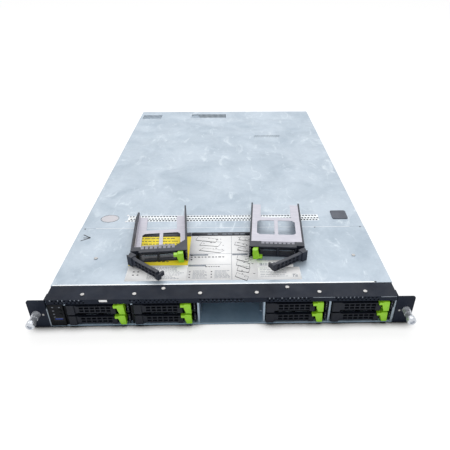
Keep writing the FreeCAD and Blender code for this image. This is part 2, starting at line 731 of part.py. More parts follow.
def carrier_frame(loose):
    """Moulded frame: hinge lug, open bezel with post and bar, latch pocket, grooved rails.

    The comb recesses, the gusset and the bar are left out in the bays, where nothing shows them.
    """
    height = (0, CARRIER_HEIGHT)
    mid = (BEZEL_WEB, CARRIER_HEIGHT - BEZEL_WEB)
    right_x = (CARRIER_WIDTH - RAIL, CARRIER_WIDTH)
    tail_start = CARRIER_LENGTH - RAIL_TAPER
    left_rail = side_profile(
        [(RECESS_DEPTH, 0), (CARRIER_LENGTH, 0), (CARRIER_LENGTH, RAIL_TAIL),
         (tail_start, CARRIER_HEIGHT), (RECESS_DEPTH, CARRIER_HEIGHT)],
        (0, RAIL),
    )
    right_rail = box(right_x, (0, CARRIER_LENGTH), height)
    head = box((0, CARRIER_WIDTH), (0, BEZEL_DEPTH), height)
    lug = many_sided(LUG_RADIUS, (HINGE_X, 0, LUG_LOW), (0, 0, 1), LUG_HIGH - LUG_LOW, SMALL_SIDES)
    neck_x = (HINGE_X - LUG_RADIUS, HINGE_X + LUG_RADIUS)
    neck = box(neck_x, (0, RECESS_DEPTH), (LUG_LOW, LUG_HIGH))
    cheek_z = (LEVER_LOW, CARRIER_HEIGHT - BEZEL_WEB / 2)
    cheek = box((POCKET_RIGHT, CARRIER_WIDTH), (-CHEEK_REACH, 0), cheek_z)
    recess = box((-1, RECESS_WIDTH), (-1, RECESS_DEPTH), (-1, CARRIER_HEIGHT + 1))
    post_middle = (CAVITY_LEFT + CAVITY_RIGHT) / 2
    through = (-1, BEZEL_DEPTH + 1)
    pocket_z = (LEVER_LOW - STEM_GAP, LEVER_HIGH - STEM_GAP)
    groove_y = (GROOVE_FRONT, CARRIER_LENGTH + 1)
    groove_z = (GROOVE_MIDDLE - GROOVE_HEIGHT / 2, GROOVE_MIDDLE + GROOVE_HEIGHT / 2)
    cuts = [
        box((CAVITY_LEFT, post_middle - CAVITY_POST / 2), through, mid),
        box((post_middle + CAVITY_POST / 2, CAVITY_RIGHT), through, mid),
        box((POCKET_LEFT, POCKET_RIGHT), (-CHEEK_REACH - 1, POCKET_DEPTH), pocket_z),
        box((-1, GROOVE_DEPTH), groove_y, groove_z),
        box((CARRIER_WIDTH - GROOVE_DEPTH, CARRIER_WIDTH + 1), groove_y, groove_z),
    ]
    bar_front = HOOK_BACK + CAVITY_BAR_GAP
    bar_y = (bar_front, bar_front + CAVITY_BAR_DEPTH)
    bar_z = CARRIER_HEIGHT / 2 - CAVITY_BAR / 2
    bar = box((CAVITY_LEFT, CAVITY_RIGHT), bar_y, (bar_z, bar_z + CAVITY_BAR))
    solids = [lug, neck, cheek]
    if loose:
        across = (CAVITY_LEFT, CAVITY_RIGHT)
        along = (COMB_FRONT - COMB_CLEARANCE, BEZEL_DEPTH + 1)
        cuts.append(box(across, along, (CARRIER_HEIGHT - COMB_RECESS, CARRIER_HEIGHT + 1)))
        cuts.append(box(across, along, (-1, COMB_RECESS)))
        gusset = [(POCKET_LEFT, BEZEL_DEPTH), (right_x[0], BEZEL_DEPTH), (right_x[0], BEZEL_DEPTH + GUSSET)]
        solids.append(slab(gusset, (CARRIER_HEIGHT - BEZEL_WEB / 2, CARRIER_HEIGHT)))
    bore_radius = corner_radius(PIN_RADIUS + RUNNING_GAP, SMALL_SIDES)
    bore = many_sided(bore_radius, (HINGE_X, 0, -1), (0, 0, 1), CARRIER_HEIGHT + 2, SMALL_SIDES)
    body = carve(head.fuse([left_rail, right_rail]), [recess])
    body = carve(union([body] + solids), cuts)
    if loose:
        body = union([body, bar])
    return carve(body, [bore])


def carrier_tray(loose):
    """Sheet tray: two windows at the front, a crossbar, two strips at the back, low sides.

    The windows are left out in the bays, where a drive covers them.
    """
    left = RAIL + TRAY_GAP
    right = CARRIER_WIDTH - RAIL - TRAY_GAP
    z = (TRAY_GAP, TRAY_GAP + TRAY_SHEET)
    floor = box((left, right), (TRAY_FRONT, TRAY_BACK), z)
    through = (z[0] - 1, z[1] + 1)
    inner = (left + TRAY_STRIP, right - TRAY_STRIP)
    middle = CARRIER_WIDTH / 2
    cuts = [box(inner, (TRAY_CROSSBAR, TRAY_BACK + 1), through)]
    if loose:
        inside = middle - WINDOW_BAR / 2
        window = slab(
            [(WINDOW_EDGE, WINDOW_FRONT + WINDOW_CORNER), (WINDOW_EDGE + WINDOW_CORNER, WINDOW_FRONT),
             (inside, WINDOW_FRONT), (inside, WINDOW_BACK), (WINDOW_EDGE + WINDOW_CORNER, WINDOW_BACK),
             (WINDOW_EDGE, WINDOW_BACK - WINDOW_CORNER)],
            through,
        )
        cuts += [window, window.mirror(Vector(middle, 0, 0), Vector(1, 0, 0))]
    side_y = (TRAY_FRONT, TRAY_BACK)
    sides = [
        box((left, left + TRAY_SHEET), side_y, (z[0], TRAY_SIDE)),
        box((right - TRAY_SHEET, right), side_y, (z[0], TRAY_SIDE)),
    ]
    low_tail = CARRIER_LENGTH - RAIL_TAPER
    trim = box((left - 1, left + 2), (low_tail, TRAY_BACK + 1), (RAIL_TAIL - TRAY_SHEET, TRAY_SIDE + 1))
    return carve(union([floor.cut(cuts)] + sides), [trim])


def comb(back, z):
    """A strip of spring fingers that earths the bezel, back to a given depth."""
    left = CAVITY_LEFT + COMB_END
    right = CAVITY_RIGHT - COMB_END
    pitch = (right - left - COMB_TOOTH) / (COMB_TEETH - 1)
    root = back - COMB_STRIP
    points = [(right, back), (left, back)]
    for i in range(COMB_TEETH):
        x = left + i * pitch
        tooth = [(x, root), (x, COMB_FRONT), (x + COMB_TOOTH, COMB_FRONT), (x + COMB_TOOTH, root)]
        points += tooth[1:] if i == 0 else tooth
    return slab(points[:-1], z)


def earthing_combs():
    """The upper and lower comb of a carrier."""
    low = COMB_RECESS - COMB_SHEET
    high = CARRIER_HEIGHT - COMB_RECESS
    return [comb(BEZEL_DEPTH, (low, low + COMB_SHEET)), comb(COMB_BACK, (high, high + COMB_SHEET))]


def drive():
    """A 2.5-inch drive, seated on the tray."""
    left = (CARRIER_WIDTH - DRIVE_WIDTH) / 2
    low = TRAY_GAP + TRAY_SHEET
    along = (DRIVE_FRONT, DRIVE_FRONT + DRIVE_LENGTH)
    return box((left, left + DRIVE_WIDTH), along, (low, low + DRIVE_HEIGHT))


def turned(point, degrees):
    """A plan point turned about the lever's hinge, seen from above."""
    angle = math.radians(degrees)
    return (
        point[0] * math.cos(angle) - point[1] * math.sin(angle),
        point[0] * math.sin(angle) + point[1] * math.cos(angle),
    )


def cam_notch():
    """The notch that takes the divider's front edge as the lever swings open."""
    corner = (-CARRIER_GAP - HINGE_X + CAM_GAP, DIVIDER_FRONT - BEZEL_SETBACK - CAM_GAP)
    apex = turned(corner, CAM_SWING)
    out_x = BLOCK_LEFT - HINGE_X - 1.0
    front_way = turned((-1, 0), CAM_SWING)
    back_way = turned((0, 1), CAM_SWING)
    front_reach = (out_x - apex[0]) / front_way[0]
    back_reach = (out_x - apex[0]) / back_way[0]
    return [
        (apex[0] + HINGE_X, apex[1]),
        (out_x + HINGE_X, apex[1] + back_reach * back_way[1]),
        (out_x + HINGE_X, apex[1] + front_reach * front_way[1]),
    ]


def lever(rows):
    """Ejector lever: cam block on a pin, arm with rows of slots, toe and hook."""
    tall = (LEVER_LOW, LEVER_HIGH)
    block = slab(
        [(BLOCK_LEFT + BLOCK_CORNER, BLOCK_FRONT), (BLOCK_RIGHT, BLOCK_FRONT), (BLOCK_RIGHT, BLOCK_BACK),
         (BLOCK_LEFT, BLOCK_BACK), (BLOCK_LEFT, BLOCK_FRONT + BLOCK_CORNER)],
        tall,
    )
    heel = slab(
        [(BLOCK_LEFT - 1, BLOCK_BACK - HEEL_CUT[1]), (BLOCK_LEFT + HEEL_CUT[0], BLOCK_BACK + 1),
         (BLOCK_LEFT - 1, BLOCK_BACK + 1)],
        (LEVER_LOW - 1, LEVER_HIGH + 1),
    )
    slot_right = HINGE_X + LUG_RADIUS + LUG_GAP
    slot = box(
        (BLOCK_LEFT - 1, slot_right), (-LUG_RADIUS - LUG_GAP, BLOCK_BACK + 1),
        (LUG_LOW - LUG_GAP, LUG_HIGH + LUG_GAP),
    )
    notch = slab(cam_notch(), (LEVER_LOW - 1, LEVER_HIGH + 1))
    pin = many_sided(PIN_RADIUS, (HINGE_X, 0, LEVER_LOW), (0, 0, 1), LEVER_HIGH - LEVER_LOW, SMALL_SIDES)
    root = BLOCK_RIGHT - 0.1
    arm = front_profile(
        [(root, LEVER_LOW + ARM_TAPER), (ARM_START, ARM_LOW), (ARM_END, ARM_LOW), (ARM_END, ARM_HIGH),
         (ARM_START, ARM_HIGH), (root, LEVER_HIGH - ARM_TAPER)],
        (ARM_FRONT, ARM_BACK),
    )
    cell = (SLOT_LAST - SLOT_FIRST + SLOT_BAR) / SLOT_COLUMNS
    slot_height = (ARM_HIGH - ARM_LOW - (rows + 1) * SLOT_BAR) / rows
    through = (ARM_FRONT - 1, ARM_BACK + 1)
    grid = []
    for column in range(SLOT_COLUMNS):
        left = SLOT_FIRST + column * cell
        for row in range(rows):
            low = ARM_LOW + SLOT_BAR + row * (slot_height + SLOT_BAR)
            grid.append(box((left, left + cell - SLOT_BAR), through, (low, low + slot_height)))
    toe = box((ARM_END - TOE_LAP, TOE_END), (ARM_FRONT - TOE_PROUD, ARM_BACK), (TOE_LOW, TOE_HIGH))
    hook_right = TOE_END - HOOK_INSET
    hook = slab(
        [(hook_right - HOOK_WIDTH - HOOK_FLARE, ARM_BACK), (hook_right, ARM_BACK), (hook_right, HOOK_BACK),
         (hook_right - HOOK_WIDTH, HOOK_BACK)],
        (ARM_LOW + 1, TOE_HIGH),
    )
    block = carve(block, [slot, notch, heel])
    return union([block, carve(arm, grid), toe, hook, pin])


def latch():
    """Latch button: tab over the lever's toe, thumb face, stem in the bezel's pocket."""
    low_root, waist_root, high_root = [LATCH_WAIST - inset for inset in TAB_ROOT]
    face = front_profile(
        [(TAB_LEFT, TAB_LOW), (low_root, TAB_LOW), (waist_root, WAIST_HEIGHT),
         (LATCH_WAIST, LEVER_LOW), (LATCH_RIGHT, LEVER_LOW), (LATCH_RIGHT - LATCH_DRAFT, LEVER_HIGH),
         (high_root, LEVER_HIGH), (waist_root, TAB_HIGH), (TAB_LEFT, TAB_HIGH)],
        (LATCH_FRONT, LATCH_FRONT + LATCH_PLATE),
    )
    stem = box(
        (STEM_LEFT, STEM_RIGHT), (LATCH_FRONT + LATCH_PLATE, POCKET_DEPTH - STEM_GAP),
        (LEVER_LOW, LEVER_HIGH - 2 * STEM_GAP),
    )
    return union([face, stem])


def swung(shape, degrees):
    """A lever opened by an angle about its hinge."""
    opened = shape.copy()
    opened.rotate(Vector(HINGE_X, 0, 0), Vector(0, 0, -1), degrees)
    return opened


def bay_place(column, row):
    """Where a carrier sits in the case."""
    return Placement(Vector(bay_left(column), BEZEL_SETBACK, ROW_FLOOR + row * ROW_PITCH), Rotation())


def loose_place(layout):
    """Where a loose carrier lies on the covers, right way up or bottom up."""
    low = CASE_HEIGHT + LOOSE_GAP
    turn = Rotation(Vector(0, 0, 1), layout["turn"])
    lie = Placement(Vector(*layout["corner"], low), turn)
    if layout["flipped"]:
        over = Placement(Vector(CARRIER_WIDTH, 0, CARRIER_HEIGHT), Rotation(Vector(0, 1, 0), 180))
        lie = lie.multiply(over)
    return lie


def placed(shape, place):
    """A copy of a shape at a placement."""
    copy = shape.copy()
    copy.transformShape(place.toMatrix())
    return copy


# Control panel

def panel_limits():
    """The control panel's left and right side."""
    return (-WALL_IN + PANEL_GAP, FIRST_DIVIDER - PANEL_GAP)


def control_panel():
    """Moulded panel, open at the back, with holes for buttons, lamps and the socket."""
    x = panel_limits()
    high = CAGE_ROOF - PANEL_GAP
    y = (PANEL_FRONT, PANEL_FRONT + PANEL_DEPTH)
    shell = box(x, y, (PANEL_LOW, high))
    hollow = box(
        (x[0] + PANEL_SHELL, x[1] - PANEL_SHELL), (PANEL_FRONT + PANEL_FACE, y[1] + 1),
        (PANEL_LOW + PANEL_SHELL, high - PANEL_SHELL),
    )
    cuts = [hollow]
    for height, radius in ((POWER_HEIGHT, POWER_RADIUS), (IDENT_HEIGHT, IDENT_RADIUS)):
        hole_radius = corner_radius(radius + BUTTON_GAP, LARGE_SIDES)
        start = (BUTTON_X, PANEL_FRONT - 1, height)
        cuts.append(many_sided(hole_radius, start, (0, 1, 0), PANEL_FACE + 2, LARGE_SIDES))
    for lamp_x, lamp_z in LAMP_PLACES:
        hole_radius = corner_radius(LAMP_RADIUS + PANEL_GAP / 2, SMALL_SIDES)
        start = (lamp_x, PANEL_FRONT - 1, lamp_z)
        cuts.append(many_sided(hole_radius, start, (0, 1, 0), PANEL_FACE + 2, SMALL_SIDES))
    cuts.append(box(*usb_outline(PANEL_GAP, (PANEL_FRONT - 1, PANEL_FRONT + PANEL_FACE + 1))))
    return carve(shell, cuts)


def usb_outline(margin, y):
    """The socket shell's outline, grown by a margin, as three ranges."""
    half_x = USB_SIZE[0] / 2 + margin
    half_z = USB_SIZE[1] / 2 + margin
    middle_x, middle_z = USB_MIDDLE
    return (middle_x - half_x, middle_x + half_x), y, (middle_z - half_z, middle_z + half_z)


def button(height, radius):
    """A round button with a collar behind the panel's face."""
    front = PANEL_FRONT - BUTTON_PROUD
    collar_y = PANEL_FRONT + PANEL_FACE + BUTTON_GAP
    stem = many_sided(radius, (BUTTON_X, front, height), (0, 1, 0), BUTTON_LENGTH, LARGE_SIDES)
    start = (BUTTON_X, collar_y, height)
    collar = many_sided(radius + BUTTON_COLLAR, start, (0, 1, 0), COLLAR_SHEET, LARGE_SIDES)
    return union([stem, collar])


def panel_board():
    """Small board behind the control panel, with its lamps, switches and socket soldered on."""
    limits = panel_limits()
    front = PANEL_FRONT + USB_LENGTH
    edge = PANEL_BOARD_EDGE
    z = (PANEL_LOW + edge, CAGE_ROOF - PANEL_GAP - edge)
    board = box((limits[0] + edge, limits[1] - edge), (front, front + PANEL_BOARD), z)
    solids = [board]
    for lamp_x, lamp_z in LAMP_PLACES:
        start = (lamp_x, PANEL_FRONT, lamp_z)
        solids.append(many_sided(LAMP_RADIUS, start, (0, 1, 0), USB_LENGTH, SMALL_SIDES))
    for height in (POWER_HEIGHT, IDENT_HEIGHT):
        back = PANEL_FRONT - BUTTON_PROUD + BUTTON_LENGTH + BUTTON_TRAVEL + BUTTON_GAP
        half = SWITCH_SIZE / 2
        solids.append(box((BUTTON_X - half, BUTTON_X + half), (back, front), (height - half, height + half)))
    shell = box(*usb_outline(0, (PANEL_FRONT, front)))
    inside = box(*usb_outline(-USB_WALL, (PANEL_FRONT - 1, front - USB_BACK)))
    tongue_z = USB_MIDDLE[1] + TONGUE_RISE
    half = USB_SIZE[0] / 2 - TONGUE_SIDE
    tongue_x = (USB_MIDDLE[0] - half, USB_MIDDLE[0] + half)
    tongue = box(tongue_x, (PANEL_FRONT + TONGUE_SETBACK, front), (tongue_z, tongue_z + TONGUE_SHEET))
    return union(solids + [shell.cut(inside), tongue])


# Fans

def fan_places():
    """The fans' middles, spread between the cover's button and the right wall."""
    button_right = RELEASE_MIDDLE[0] + RELEASE_RADII[0] + RELEASE_LIP
    left = button_right + FAN_FROM_BUTTON + FAN_SIZE / 2
    right = WALL_IN - FAN_FROM_WALL - FAN_SIZE / 2
    return spaced(left, right, FANS)


def fan_frames():
    """Sheet wall with a fan frame behind each opening; each frame carries a fixed shaft."""
    back = FAN_FRONT + FAN_DEPTH
    wall_x = (-WALL_IN + SHEET_GAP, WALL_IN - SHEET_GAP)
    wall = box(wall_x, (FAN_FRONT - FAN_WALL, FAN_FRONT), (BASE_SHEET, WALL_TOP - SHEET_GAP))
    reach = RELEASE_RADII[0] + RELEASE_LIP + RELEASE_CLEARANCE
    notch_low = CASE_HEIGHT + SHEET_GAP - RELEASE_THICK - RELEASE_DROP - RELEASE_CLEARANCE / 2
    notch = box(
        (RELEASE_MIDDLE[0] - reach, RELEASE_MIDDLE[0] + reach), (FAN_FRONT - FAN_WALL - 1, FAN_FRONT + 1),
        (notch_low, CASE_HEIGHT),
    )
    solids = [wall.cut(notch)]
    ducts = []
    spiders = []
    for x in fan_places():
        low = FAN_MIDDLE - FAN_SIZE / 2
        solids.append(box((x - FAN_SIZE / 2, x + FAN_SIZE / 2), (FAN_FRONT, back), (low, low + FAN_SIZE)))
        start = (x, FAN_FRONT - FAN_WALL - 1, FAN_MIDDLE)
        ducts.append(many_sided(DUCT_RADIUS, start, (0, 1, 0), FAN_DEPTH + 4, DUCT_SIDES))
        spiders.append(fan_spider(x, back))
    return union([carve(union(solids), ducts)] + spiders)


def fan_spider(x, back):
    """Three arms, a motor seat and a shaft in one fan's frame."""
    seat = (x, back - SPIDER_DEPTH, FAN_MIDDLE)
    parts = [many_sided(HUB_RADIUS, seat, (0, 1, 0), SPIDER_DEPTH, HUB_SIDES)]
    shaft_start = (x, FAN_FRONT + ROTOR_FRONT + 2 * ROTOR_GAP, FAN_MIDDLE)
    shaft_length = FAN_DEPTH - ROTOR_FRONT - 2 * ROTOR_GAP
    parts.append(many_sided(SHAFT_RADIUS, shaft_start, (0, 1, 0), shaft_length, SMALL_SIDES))
    for i in range(SPIDER_ARMS):
        reach = (HUB_RADIUS - 1, FAN_SIZE / 2)
        arm = box((-SPIDER_ARM / 2, SPIDER_ARM / 2), (back - SPIDER_DEPTH, back), reach)
        arm.rotate(Vector(0, 0, 0), Vector(0, 1, 0), 360.0 * i / SPIDER_ARMS + 30)
        arm.translate(Vector(x, 0, FAN_MIDDLE))
        parts.append(arm)
    return union(parts)


def fan_rotor(x):
    """Hub with tilted blades, running on the frame's shaft."""
    length = FAN_DEPTH - SPIDER_DEPTH - ROTOR_FRONT - ROTOR_GAP
    hub = many_sided(HUB_RADIUS, (0, 0, 0), (0, 1, 0), length, HUB_SIDES)
    half = BLADE_CHORD / 2
    sideways = half * math.sin(math.radians(BLADE_TILT)) + BLADE_SHEET / 2
    tip = math.sqrt((DUCT_RADIUS - TIP_GAP) ** 2 - sideways ** 2)
    parts = [hub]
    for i in range(BLADES):
        blade = box((-BLADE_SHEET / 2, BLADE_SHEET / 2), (-half, half), (HUB_RADIUS - BLADE_ROOT, tip))
        blade.rotate(Vector(0, 0, 0), Vector(0, 0, 1), BLADE_TILT)
        blade.translate(Vector(0, length / 2, 0))
        blade.rotate(Vector(0, 0, 0), Vector(0, 1, 0), 360.0 * i / BLADES)
        parts.append(blade)
    bore_radius = corner_radius(SHAFT_RADIUS + RUNNING_GAP, SMALL_SIDES)
    bore = many_sided(bore_radius, (0, ROTOR_GAP, 0), (0, 1, 0), length, SMALL_SIDES)
    wheel = carve(union(parts), [bore])
    wheel.translate(Vector(x, FAN_FRONT + ROTOR_FRONT, FAN_MIDDLE))
    return wheel


# System board

def module_places():
    """The left side of each memory module."""
    return [bank + i * MODULE_PITCH for bank in MODULE_BANKS for i in range(MODULES_IN_BANK)]


def system_board():
    """L-shaped board on its standoffs, with processor and memory sockets and the rear connectors."""
    edge = WALL_IN - BOARD_EDGE
    outline = [
        (-edge, BOARD_FRONT), (edge, BOARD_FRONT), (edge, REAR_WALL - 1), (board_left(), REAR_WALL - 1),
        (board_left(), BOARD_STEP), (-edge, BOARD_STEP),
    ]
    top = BOARD_TOP
    solids = [slab(outline, (BOARD_Z, top))]
    for x in CPU_PLACES:
        across = (x - CPU_SOCKET[0] / 2, x + CPU_SOCKET[0] / 2)
        front = CPU_FRONT + (COOLER_SIZE[1] - CPU_SOCKET[1]) / 2
        solids.append(box(across, (front, front + CPU_SOCKET[1]), (top, top + SOCKET_STACK)))
    side, end = MODULE_SOCKET_EDGE
    along = (MODULE_FRONT - end, MODULE_FRONT + MODULE_LENGTH + end)
    for x in module_places():
        across = (x - side, x + MODULE_SHEET + side)
        solids.append(box(across, along, (top, top + MODULE_SOCKET_HEIGHT)))
    hollows = []
    back = CASE_DEPTH + PORT_PROUD
    for middle, width, height in port_blocks():
        half = width / 2
        solids.append(box((middle - half, middle + half), (PORT_FRONT, back), (top, top + height)))
    for inset in JACK_INSETS:
        x = WALL_IN - inset
        half = JACK_HOLLOW[0] / 2
        low = top + JACK_RISE
        hollows.append(box((x - half, x + half), (back - JACK_DEPTH, back + 1), (low, low + JACK_HOLLOW[1])))
    return carve(union(solids), hollows)


def processor_coolers():
    """Finned coolers, one on each processor socket, as separate solids."""
    coolers = []
    low = BOARD_TOP + SOCKET_STACK
    for x in CPU_PLACES:
        left = x - COOLER_SIZE[0] / 2
        y = (CPU_FRONT, CPU_FRONT + COOLER_SIZE[1])
        parts = [box((left, left + COOLER_SIZE[0]), y, (low, low + COOLER_FOOT))]
        for fin in spaced(left, left + COOLER_SIZE[0] - COOLER_FIN, COOLER_FINS):
            parts.append(box((fin, fin + COOLER_FIN), y, (low, COOLER_TOP)))
        coolers.append(union(parts))
    return Part.makeCompound(coolers)


def memory_modules():
    """Memory modules standing in their sockets, as separate solids."""
    z = (BOARD_TOP + MODULE_SOCKET_HEIGHT, WALL_TOP - SHEET_GAP)
    modules = []
    for x in module_places():
        y = (MODULE_FRONT, MODULE_FRONT + MODULE_LENGTH)
        modules.append(box((x, x + MODULE_SHEET), y, z))
    return Part.makeCompound(modules)


# Power supplies

def power_supply(index):
    """Power supply module with its inlet recess and a fixed pull bail."""
    left = supply_left(index)
    low = BASE_SHEET + SUPPLY_GAP
    y = (CASE_DEPTH - SUPPLY_LENGTH, CASE_DEPTH)
    case = box((left, left + SUPPLY_WIDTH), y, (low, low + SUPPLY_HEIGHT))
    inlet_left = left + INLET_PLACE[0]
    inlet_low = low + INLET_PLACE[1]
    inlet = box(
        (inlet_left, inlet_left + INLET_SIZE[0]), (CASE_DEPTH - INLET_DEPTH, CASE_DEPTH + 1),
        (inlet_low, inlet_low + INLET_SIZE[1]),
    )
    bail_left = left + BAIL_LEFT
    bail_z = low + SUPPLY_HEIGHT / 2
    bail = box(
        (bail_left, bail_left + BAIL_WIDTH), (CASE_DEPTH - 1, CASE_DEPTH + BAIL_REACH),
        (bail_z - BAIL_ROD, bail_z + BAIL_ROD),
    )
    bail = round_corners(bail, BAIL_CORNER, (0, 0, 1), lambda p: p.y > CASE_DEPTH)
    grip = box(
        (bail_left + BAIL_ROD, bail_left + BAIL_WIDTH - BAIL_ROD),
        (CASE_DEPTH, CASE_DEPTH + BAIL_REACH - BAIL_ROD), (bail_z - BAIL_ROD - 1, bail_z + BAIL_ROD + 1),
    )
    tab_x, tab_z = tab_ranges(index)
    pocket = box(
        (tab_x[0] - SUPPLY_GAP, tab_x[1] + TAB_TRAVEL + SUPPLY_GAP),
        (CASE_DEPTH - TAB_DEPTH, CASE_DEPTH + 1), (tab_z[0] - SUPPLY_GAP, tab_z[1] + SUPPLY_GAP),
    )
    return carve(union([case, bail.cut(grip)]), [inlet, pocket])


def tab_ranges(index):
    """The release tab's shank across and up."""
    left = supply_left(index) + TAB_PLACE[0]
    low = BASE_SHEET + SUPPLY_GAP + TAB_PLACE[1]
    return (left, left + TAB_WIDTH), (low, low + TAB_WIDTH)


def supply_latch(index):
    """Release tab of a power supply: shank in its pocket and a thumb pad outside."""
    x, z = tab_ranges(index)
    face = CASE_DEPTH + SUPPLY_GAP
    shank = box(x, (CASE_DEPTH - TAB_DEPTH + SUPPLY_GAP, face), z)
    pad = box((x[0] - TAB_RIM, x[1] + TAB_RIM), (face, face + TAB_PAD), (z[0] - TAB_RIM, z[1] + TAB_RIM))
    return union([shank, pad])


# Assembly

def carrier_nodes():
    """Every carrier's pieces, in the bays and loose."""
    in_bay = Part.makeCompound([carrier_frame(False), carrier_tray(False), drive()])
    bay_lever = lever(SLOT_ROWS_IN_BAY)
    catch = latch()
    nodes = {}
    number = 1
    for column in range(COLUMNS):
        if column == EMPTY_COLUMN:
            continue
        for row in range(ROWS):
            place = bay_place(column, row)
            nodes[f"carrier_{number}"] = placed(in_bay, place)
            nodes[f"lever_{number}"] = placed(bay_lever, place)
            nodes[f"latch_{number}"] = placed(catch, place)
            number += 1
    frame = carrier_frame(True)
    tray = Part.makeCompound([carrier_tray(True)] + earthing_combs())
    for side, layout in (("left", LEFT_LOOSE), ("right", RIGHT_LOOSE)):
        place = loose_place(layout)
        nodes[f"loose_frame_{side}"] = placed(frame, place)
        nodes[f"loose_tray_{side}"] = placed(tray, place)
        nodes[f"loose_lever_{side}"] = placed(swung(lever(SLOT_ROWS), layout["lever"]), place)
        nodes[f"loose_latch_{side}"] = placed(catch, place)
    return nodes


def case_nodes():
    """The case, its panel, boards, fans and power supplies."""
    ear = ear_right()
    screw = thumbscrew_right()
    nodes = {
        "chassis_base": chassis_base(),
        "drive_cage": drive_cage(),
        "front_top_plate": front_top_plate(),
        "ear_right": ear,
        "ear_left": mirrored(ear),
        "thumbscrew_right": screw,
        "thumbscrew_left": mirrored(screw),
        "front_cover": front_cover(),
        "rear_cover": rear_cover(),
        "cover_button": cover_button(),
        "cover_screws": cover_screws(),
        "control_panel": control_panel(),
        "power_button": button(POWER_HEIGHT, POWER_RADIUS),
        "id_button": button(IDENT_HEIGHT, IDENT_RADIUS),
        "panel_board": panel_board(),
        "drive_backplane": drive_backplane(),
        "system_board": system_board(),
        "processor_coolers": processor_coolers(),
        "memory_modules": memory_modules(),
        "fan_frames": fan_frames(),
    }
    for number, x in enumerate(fan_places(), 1):
        nodes[f"fan_rotor_{number}"] = fan_rotor(x)
    for index in range(SUPPLIES):
        nodes[f"power_supply_{index + 1}"] = power_supply(index)
        nodes[f"supply_latch_{index + 1}"] = supply_latch(index)
    return nodes


def main():
    """Build every piece and write one file for each."""
    os.makedirs("parts", exist_ok=True)
    nodes = case_nodes()
    nodes.update(carrier_nodes())
    for name, shape in nodes.items():
        shape.exportStep(f"parts/{name}.step")
        print(name, "solids", len(shape.Solids), "valid", shape.isValid(), "volume", round(shape.Volume))


main()
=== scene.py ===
import json
import math
import random

import bmesh
import bpy
from mathutils import Matrix, Vector


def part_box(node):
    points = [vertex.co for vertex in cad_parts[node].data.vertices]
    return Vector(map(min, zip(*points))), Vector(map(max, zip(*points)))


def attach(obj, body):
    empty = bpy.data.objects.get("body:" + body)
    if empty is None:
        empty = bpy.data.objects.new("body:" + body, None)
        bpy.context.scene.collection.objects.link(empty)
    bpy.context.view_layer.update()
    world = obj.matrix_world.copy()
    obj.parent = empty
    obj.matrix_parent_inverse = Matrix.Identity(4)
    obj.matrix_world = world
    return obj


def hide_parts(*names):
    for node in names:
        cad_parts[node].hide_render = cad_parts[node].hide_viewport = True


# The looks of a one-unit rack server. Sizes are in millimetres, and MM turns them into metres.
MM = 0.001
SHARP = math.radians(35)

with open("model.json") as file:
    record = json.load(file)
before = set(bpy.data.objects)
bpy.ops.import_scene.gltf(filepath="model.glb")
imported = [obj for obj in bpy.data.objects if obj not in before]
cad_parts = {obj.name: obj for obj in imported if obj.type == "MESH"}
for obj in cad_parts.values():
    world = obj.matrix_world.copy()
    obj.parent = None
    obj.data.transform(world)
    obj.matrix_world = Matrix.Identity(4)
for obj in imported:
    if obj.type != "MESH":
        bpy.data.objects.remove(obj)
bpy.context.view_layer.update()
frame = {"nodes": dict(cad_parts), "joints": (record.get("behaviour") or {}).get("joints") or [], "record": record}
NODES = frame["nodes"]
JOINTS = {joint["name"]: joint for joint in frame["joints"]}
BODY_OF = {}
for body_name, members in frame["record"]["behaviour"]["bodies"].items():
    for member in members:
        BODY_OF[member] = body_name

# Camera
CAMERA_PLACE = (10.5, -424.9, 401.6)
CAMERA_PITCH = 0.568
CAMERA_YAW = -0.023
CAMERA_ROLL = -0.003
CAMERA_LENS = 35.63
CAMERA_SHIFT = (-0.031, 0.0289)


def span(node):
    """A node's extents along X, Y and Z, in millimetres."""
    low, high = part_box(node)
    return [(a / MM, b / MM) for a, b in zip(low, high)]


# The covers' top face, sheet, half width and rear edge
COVER_X, COVER_Y, COVER_Z = span("rear_cover")
HALF_WIDTH, CASE_BACK, LID = COVER_X[1], COVER_Y[1], COVER_Z[1]
LID_SHEET = 1.0


# Node materials

